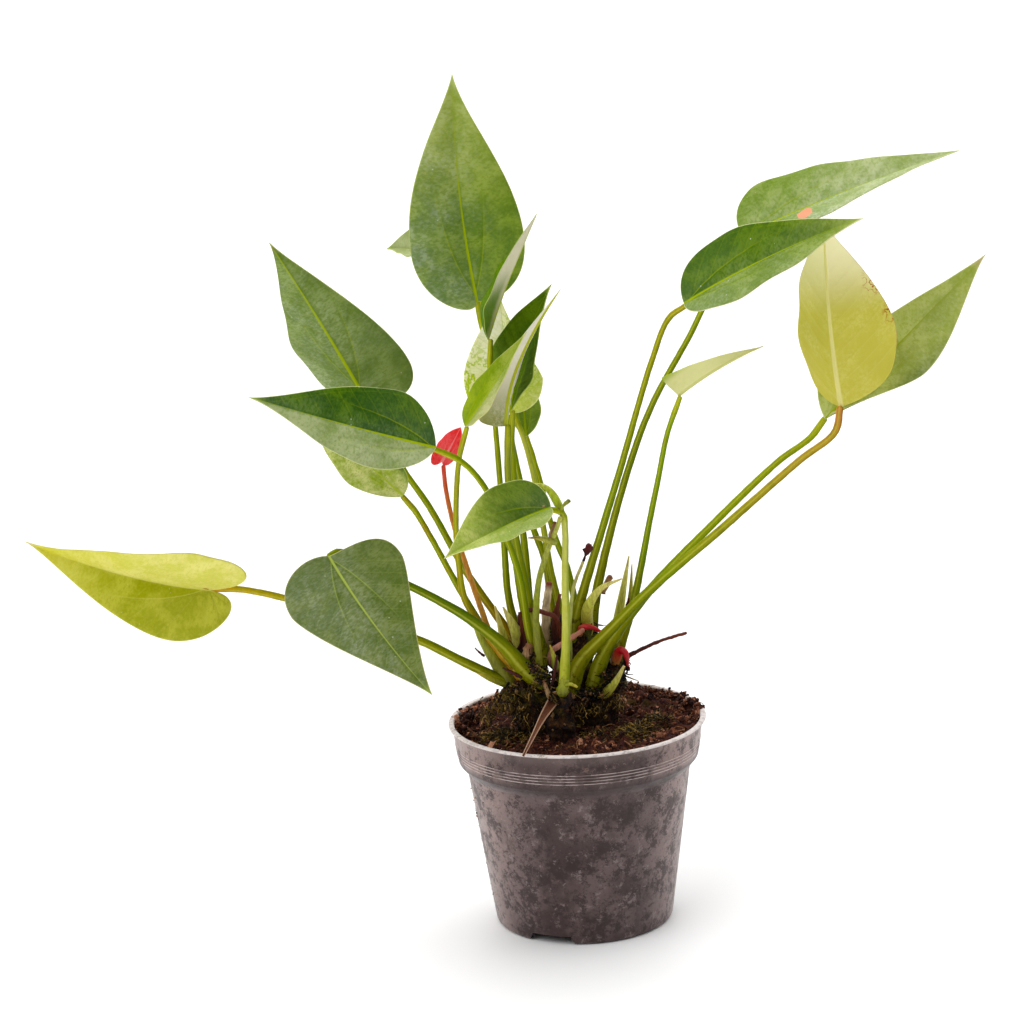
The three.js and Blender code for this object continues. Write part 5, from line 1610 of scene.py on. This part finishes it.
def rhizome_look():
    """Old stem: brown, ringed and mossy, with painted shade in its folds and tan scars."""
    look = Look("old_stem")
    height = look.split(look.place)[2]
    bark = look.noise(2.2, 6, look.stretched(1, 1, 0.6), rough=0.7)
    # The bark noise also sets the bumps, so the ramp's dark end is painted shade in the folds.
    look.colour = look.blend(
        bark, (0.3, (26, 17, 11)), (0.48, (48, 33, 21)), (0.62, (84, 59, 38)), (0.78, (136, 104, 70)),
    )
    green = look.times(look.step(look.noise(8, 3), 0.48, 0.62), look.step(height, 0.1, 0.118, 0, 0.75))
    look.paint(green, look.mix(bark, (60, 66, 14), (122, 122, 42)))
    low_moss = look.times(look.step(look.noise(6, 4), 0.52, 0.62), look.step(height, 0.094, 0.108, 0.8, 0))
    look.paint(low_moss, look.mix(bark, (30, 22, 12), (78, 60, 34)))
    return look.surface(0.85, look.plus(bark, look.noise(0.7, 4)), 0.6, 0.9, Specular_IOR_Level=0.3)


STEM = dict(step=1.6, sides=26, rough=0.3, scar_pitch=11, ring_pitch=2.7, voxel=0.82, knobs=9)


def bark_spots(chance, count):
    """Random spots on the old stems above the soil: number, middle of the stem, way out and half width."""
    for (foot, tip), places in RHIZOME:
        route, _ = seen_route(places, STEM["step"])
        _, across, outward = route_frames(route)
        for number in range(count):
            i = chance.randrange(len(route) // 3, len(route))
            x, y = polar(1, chance.uniform(0, 2 * math.pi))
            yield number, route[i], x * across[i] + y * outward[i], foot + (tip - foot) * i / (len(route) - 1)


def make_rhizome():
    skin = Skin()
    for i, ((foot, tip), places) in enumerate(RHIZOME):
        route, length = seen_route(places, STEM["step"])
        share = np.linspace(0, 1, len(route))
        turns = 2 * math.pi * share * length
        rings = 1 + 0.09 * np.cos(turns / STEM["scar_pitch"]) + 0.03 * np.cos(turns / STEM["ring_pitch"])
        tube(skin, route, (foot + (tip - foot) * share) * rings, STEM["sides"], rough=STEM["rough"], seed=i)
    chance = random.Random(31)
    for _, centre, way, girth in bark_spots(chance, STEM["knobs"]):
        crumb(skin, chance, centre + way * girth * 0.93, chance.uniform(0.8, 1.7), (1, 0.9, 0.8), 0)
    stem = skin.piece("old_stem", rhizome_look(), "rhizome", "rhizome")
    melt = stem.modifiers.new("melt", "REMESH")
    melt.mode = "VOXEL"
    melt.voxel_size = STEM["voxel"] * MM
    melt.use_smooth_shade = True
    knock(bake(stem), lambda spot: 0.9 * noise.fractal(spot / 3, 0.9, 2.1, 4) - 0.3)


def make_litter():
    """Grit, short roots and moss strands that cling to the old stems between the stalks."""
    chance = random.Random(47)
    grit, strands = Skin(), Skin()
    for number, centre, way, girth in bark_spots(chance, 130):
        place = centre + way * girth * chance.uniform(0.9, 1.12)
        if number % 3:
            crumb(grit, chance, place, 0.35 + 1.1 * chance.random() ** 2, SQUAT, chance.random() ** 1.6)
            continue
        reach = chance.uniform(2, 6.5)
        drop = np.array([chance.gauss(0, 0.5), chance.gauss(0, 0.5), -chance.uniform(0.1, 0.8)])
        bend = scattered(chance, 0, 0.4, 0.4)
        middle, end = 0.4 * way + 0.3 * drop, 0.3 * way + 0.7 * drop + bend
        places = [place, place + reach * middle, place + reach * end]
        strand(strands, chance, places, 0.9, (0.12, 0.4), lean=1.3)
    for *spot, spread, count in CROWN_CLODS:
        middle = seen(spot)
        for number in range(count):
            place = scattered(chance, middle, spread, spread, spread)
            if number % 3:
                crumb(grit, chance, place, chance.uniform(0.3, 1.0), SQUAT, chance.random() ** 1.4)
                continue
            way = scattered(chance, (0, 0, -0.5), 1, 0.5, 0.8)
            bend = scattered(chance, 0, 0.8, 0.4, 0.8)
            places = [place, place + way + 0.5 * bend, place + 2 * way + bend * 1.5]
            strand(strands, chance, places, 0.8, (0.12, 0.34))
    stops = ((0.05, (24, 16, 12)), (0.5, (46, 30, 22)), (0.8, (80, 54, 36)), (0.97, (140, 108, 76)))
    grit.piece("crown_grit", crumb_look("crown_grit", *stops), "soil")
    stops = ((0.05, (36, 24, 16)), (0.4, (66, 44, 26)), (0.7, (92, 80, 30)), (0.97, (150, 120, 70)))
    strands.piece("crown_strands", crumb_look("crown_strands", *stops), "root")


# Round pieces and scraps

# Colours at foot, middle and tip, roughness and depth of the fibres
SCRAP_TONES = {
    "papery": ((60, 30, 18), (96, 50, 28), (120, 66, 40), 0.8, 0.5),
    "stub": ((120, 92, 62), (178, 146, 106), (140, 96, 68), 0.75, 0.5),
    "spike": ((120, 128, 30), (160, 164, 50), (196, 176, 70), 0.5, 0.25),
    "broad": ((104, 100, 26), (150, 154, 30), (146, 158, 26), 0.5, 0.25),
    "foot": ((164, 168, 58), (150, 156, 50), (120, 124, 40), 0.5, 0.25),
    "orange": ((120, 122, 26), (168, 166, 40), (206, 140, 52), 0.5, 0.25),
    "darkRed": ((60, 24, 18), (86, 34, 26), (70, 30, 24), 0.7, 0.4),
    "bud": ((150, 160, 60), (176, 172, 70), (150, 110, 60), 0.5, 0.25),
}
# The same, with the slot before the roughness and, where it isn't halfway, the middle colour's place last
PIECE_TONES = {
    "peduncle": ((186, 142, 44), (204, 130, 40), (230, 72, 56), "flower_stalk", 0.5, 0.15, 0.75),
    "youngStalk": ((150, 150, 70), (176, 186, 90), (190, 180, 110), "stalk_pale", 0.55, 0.15),
    "maroon": ((60, 20, 24), (70, 16, 24), (96, 26, 34), "dried_flower", 0.8, 0.5),
    "stalk": ((124, 124, 30), (140, 150, 34), (182, 186, 80), "stalk_green", 0.5, 0.15),
    "root": ((70, 32, 24), (92, 46, 34), (120, 62, 44), "root", 0.7, 0.4),
    "pinkRoot": ((140, 96, 76), (184, 128, 108), (176, 114, 96), "root_pink", 0.65, 0.3),
    "redTip": ((150, 110, 60), (196, 26, 52), (176, 30, 44), "root_tip", 0.4, 0.2),
    "drySheath": ((112, 70, 50), (120, 74, 54), (92, 52, 38), "sheath_dry", 0.7, 0.5),
    "greenSheath": ((156, 146, 52), (212, 214, 92), (226, 210, 130), "sheath_green", 0.5, 0.3),
    "paleSheath": ((186, 152, 116), (240, 216, 184), (130, 60, 48), "sheath_pale", 0.7, 0.4, 0.9),
    "youngLeaf": ((150, 168, 40), (170, 186, 50), (196, 202, 90), "leaf_young", 0.45, 0.2),
}
ROUGH = {"root": 0.4, "maroon": 1.2, "paleSheath": 0.4, "pinkRoot": 0.45}
# Bend to either side in degrees, and thickness
WRAPPED = {"greenSheath": (105, 0.6), "drySheath": (-75, 0.5), "youngLeaf": (60, 0.6)}
PALE_RIMS = {"drySheath": 0.7}


def limb_look(name, foot, body, tip, roughness, grain, middle=0.5, rim=0.0):
    """A root, sheath or stalk: colour along its length, with lengthwise fibres and perhaps pale rims."""
    look = Look(name)
    share, _, side = look.field("limb")
    fibres = look.noise(1.0, 4, look.stretched(1, 1, 0.2), rough=0.65)
    look.colour = look.blend(share, (0.0, foot), (middle, body), (1.0, tip))
    look.darken(look.step(fibres, 0.38, 0.66, 0, 0.5), (150, 132, 112))
    look.paint(look.step(look.absolute(side), 0.8, 0.95, 0, rim), (196, 160, 132))
    return look.surface(roughness, fibres, grain, 0.7, Specular_IOR_Level=0.4)


def boat(foot, tip, share):
    """Half widths of an old sheath: drawn in at its foot, widest just above, and pointed."""
    return foot * 1.3 * (1 - share) ** 1.1 * (1 - 0.4 * np.exp(-share / 0.1)) + 0.6 * tip * share


def make_scraps():
    skins = {kind: Skin() for kind in SCRAP_TONES}
    for i, (kind, (foot, tip), bend, places) in enumerate(SCRAPS):
        route, _ = seen_route(places, 1.0)
        share = np.linspace(0, 1, len(route))
        if bend:
            torn = 0.5 if kind == "papery" else 0.1
            ragged = [1 + torn * noise.noise(Vector((7.3 * i, 6 * place, 0))) for place in share]
            strip(skins[kind], route, boat(foot, tip, share) * ragged, bend, 0.5)
        else:
            tube(skins[kind], route, foot + (tip - foot) * share, 12, rough=0.5, seed=i + 3)
    for kind, skin in skins.items():
        skin.piece(f"scraps_{kind}", limb_look(f"scraps_{kind}", *SCRAP_TONES[kind]), "sheath_dry")


def half_widths(kind, foot, tip, share):
    """Half widths from foot to tip of a round or wrapped piece."""
    if kind == "drySheath":
        return 1.9 * np.exp(-3 * share**1.3) + 0.45
    if kind == "youngLeaf":
        return foot * 1.3 * (1 - 0.5 * share) * np.sin(math.pi * np.clip(share + 0.12, 0, 0.95)) ** 0.5
    if kind == "maroon":
        return 0.5 + 1.2 * np.clip(4 * share - 1.8, 0, 1)
    if kind in WRAPPED:
        return boat(foot, tip, share)
    return (foot + (tip - foot) * share) * (1.3 - 0.9 * share**3 if kind == "redTip" else 1)


def make_pieces():
    looks = {
        kind: (slot, limb_look(f"limb_{kind}", foot, body, tip, *grain, rim=PALE_RIMS.get(kind, 0.0)))
        for kind, (foot, body, tip, slot, *grain) in PIECE_TONES.items()
    }
    for name, kind, (foot, tip), places in PIECES:
        route, _ = seen_route(places, 1.2)
        widths = half_widths(kind, foot, tip, np.linspace(0, 1, len(route)))
        slot, look = looks[kind]
        skin = Skin()
        if kind in WRAPPED:
            strip(skin, route, widths, *WRAPPED[kind])
        else:
            tube(skin, route, widths, 16, rough=ROUGH.get(kind, 0.08), seed=len(name))
        skin.piece(f"fine_{name}", look, slot, name)


# Studio

FLOOR_REACH = 14
# turn is 0 at the camera's side and grows to the right
LAMPS = (
    dict(name="key", turn=-52, height=48, spread=50, power=1.3),
    dict(name="top", turn=150, height=66, spread=70, power=1.5),
)
SKY = {"From Min": -0.9, "From Max": 0.5, "To Min": 0.12, "To Max": 1.0}


def make_floor():
    look = Look("floor")
    pale = look.mix(look.noise(400, 2), (250, 250, 250), (248, 248, 249))
    look.put(look.shader.inputs["Base Color"], pale)
    look.put(look.shader.inputs["Roughness"], 0.55)
    corners = [(x * FLOOR_REACH, y * FLOOR_REACH, 0) for x, y in ((-1, -1), (1, -1), (1, 1), (-1, 1))]
    mesh = bpy.data.meshes.new("floor")
    mesh.from_pydata(corners, [], [(0, 1, 2, 3)])
    mesh.materials.append(look.material)
    linked("floor", mesh)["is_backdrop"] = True


def make_lights():
    """Wide soft lamps."""
    for lamp in LAMPS:
        data = bpy.data.lights.new(lamp["name"], "SUN")
        data.angle = math.radians(lamp["spread"])
        data.energy = lamp["power"]
        light = linked(lamp["name"], data)
        height = math.radians(lamp["height"])
        side, back = polar(math.cos(height), math.radians(90 - lamp["turn"]))
        light.location = Vector((side, -back, math.sin(height)))
        light.rotation_euler = (-light.location).to_track_quat("-Z", "Y").to_euler()


def make_sky():
    """Plain white light, stronger from behind the plant."""
    world = bpy.data.worlds.new("studio")
    bpy.context.scene.world = world
    world.use_nodes = True
    tree = world.node_tree
    direction = tree.nodes.new("ShaderNodeTexCoord").outputs["Generated"]
    split = tree.nodes.new("ShaderNodeSeparateXYZ")
    ramp = tree.nodes.new("ShaderNodeMapRange")
    for name, value in SKY.items():
        ramp.inputs[name].default_value = value
    background = tree.nodes["Background"]
    background.inputs["Color"].default_value = (1, 1, 1, 1)
    tree.links.new(direction, split.inputs[0])
    tree.links.new(split.outputs["Y"], ramp.inputs["Value"])
    tree.links.new(ramp.outputs[0], background.inputs["Strength"])


for make in (
    make_camera, make_sky, make_lights, make_floor, make_pot, make_soil, make_crumbs, make_moss, make_fibres,
    make_rhizome, make_litter, make_scraps, make_stalks, make_leaves, make_pieces, make_spathe,
):
    make()
bpy.context.scene.view_settings.view_transform = "Standard"

boxes = {"cad": cad_box, "visual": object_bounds()}
{name: [list(corner) for corner in corners] for name, corners in boxes.items()}
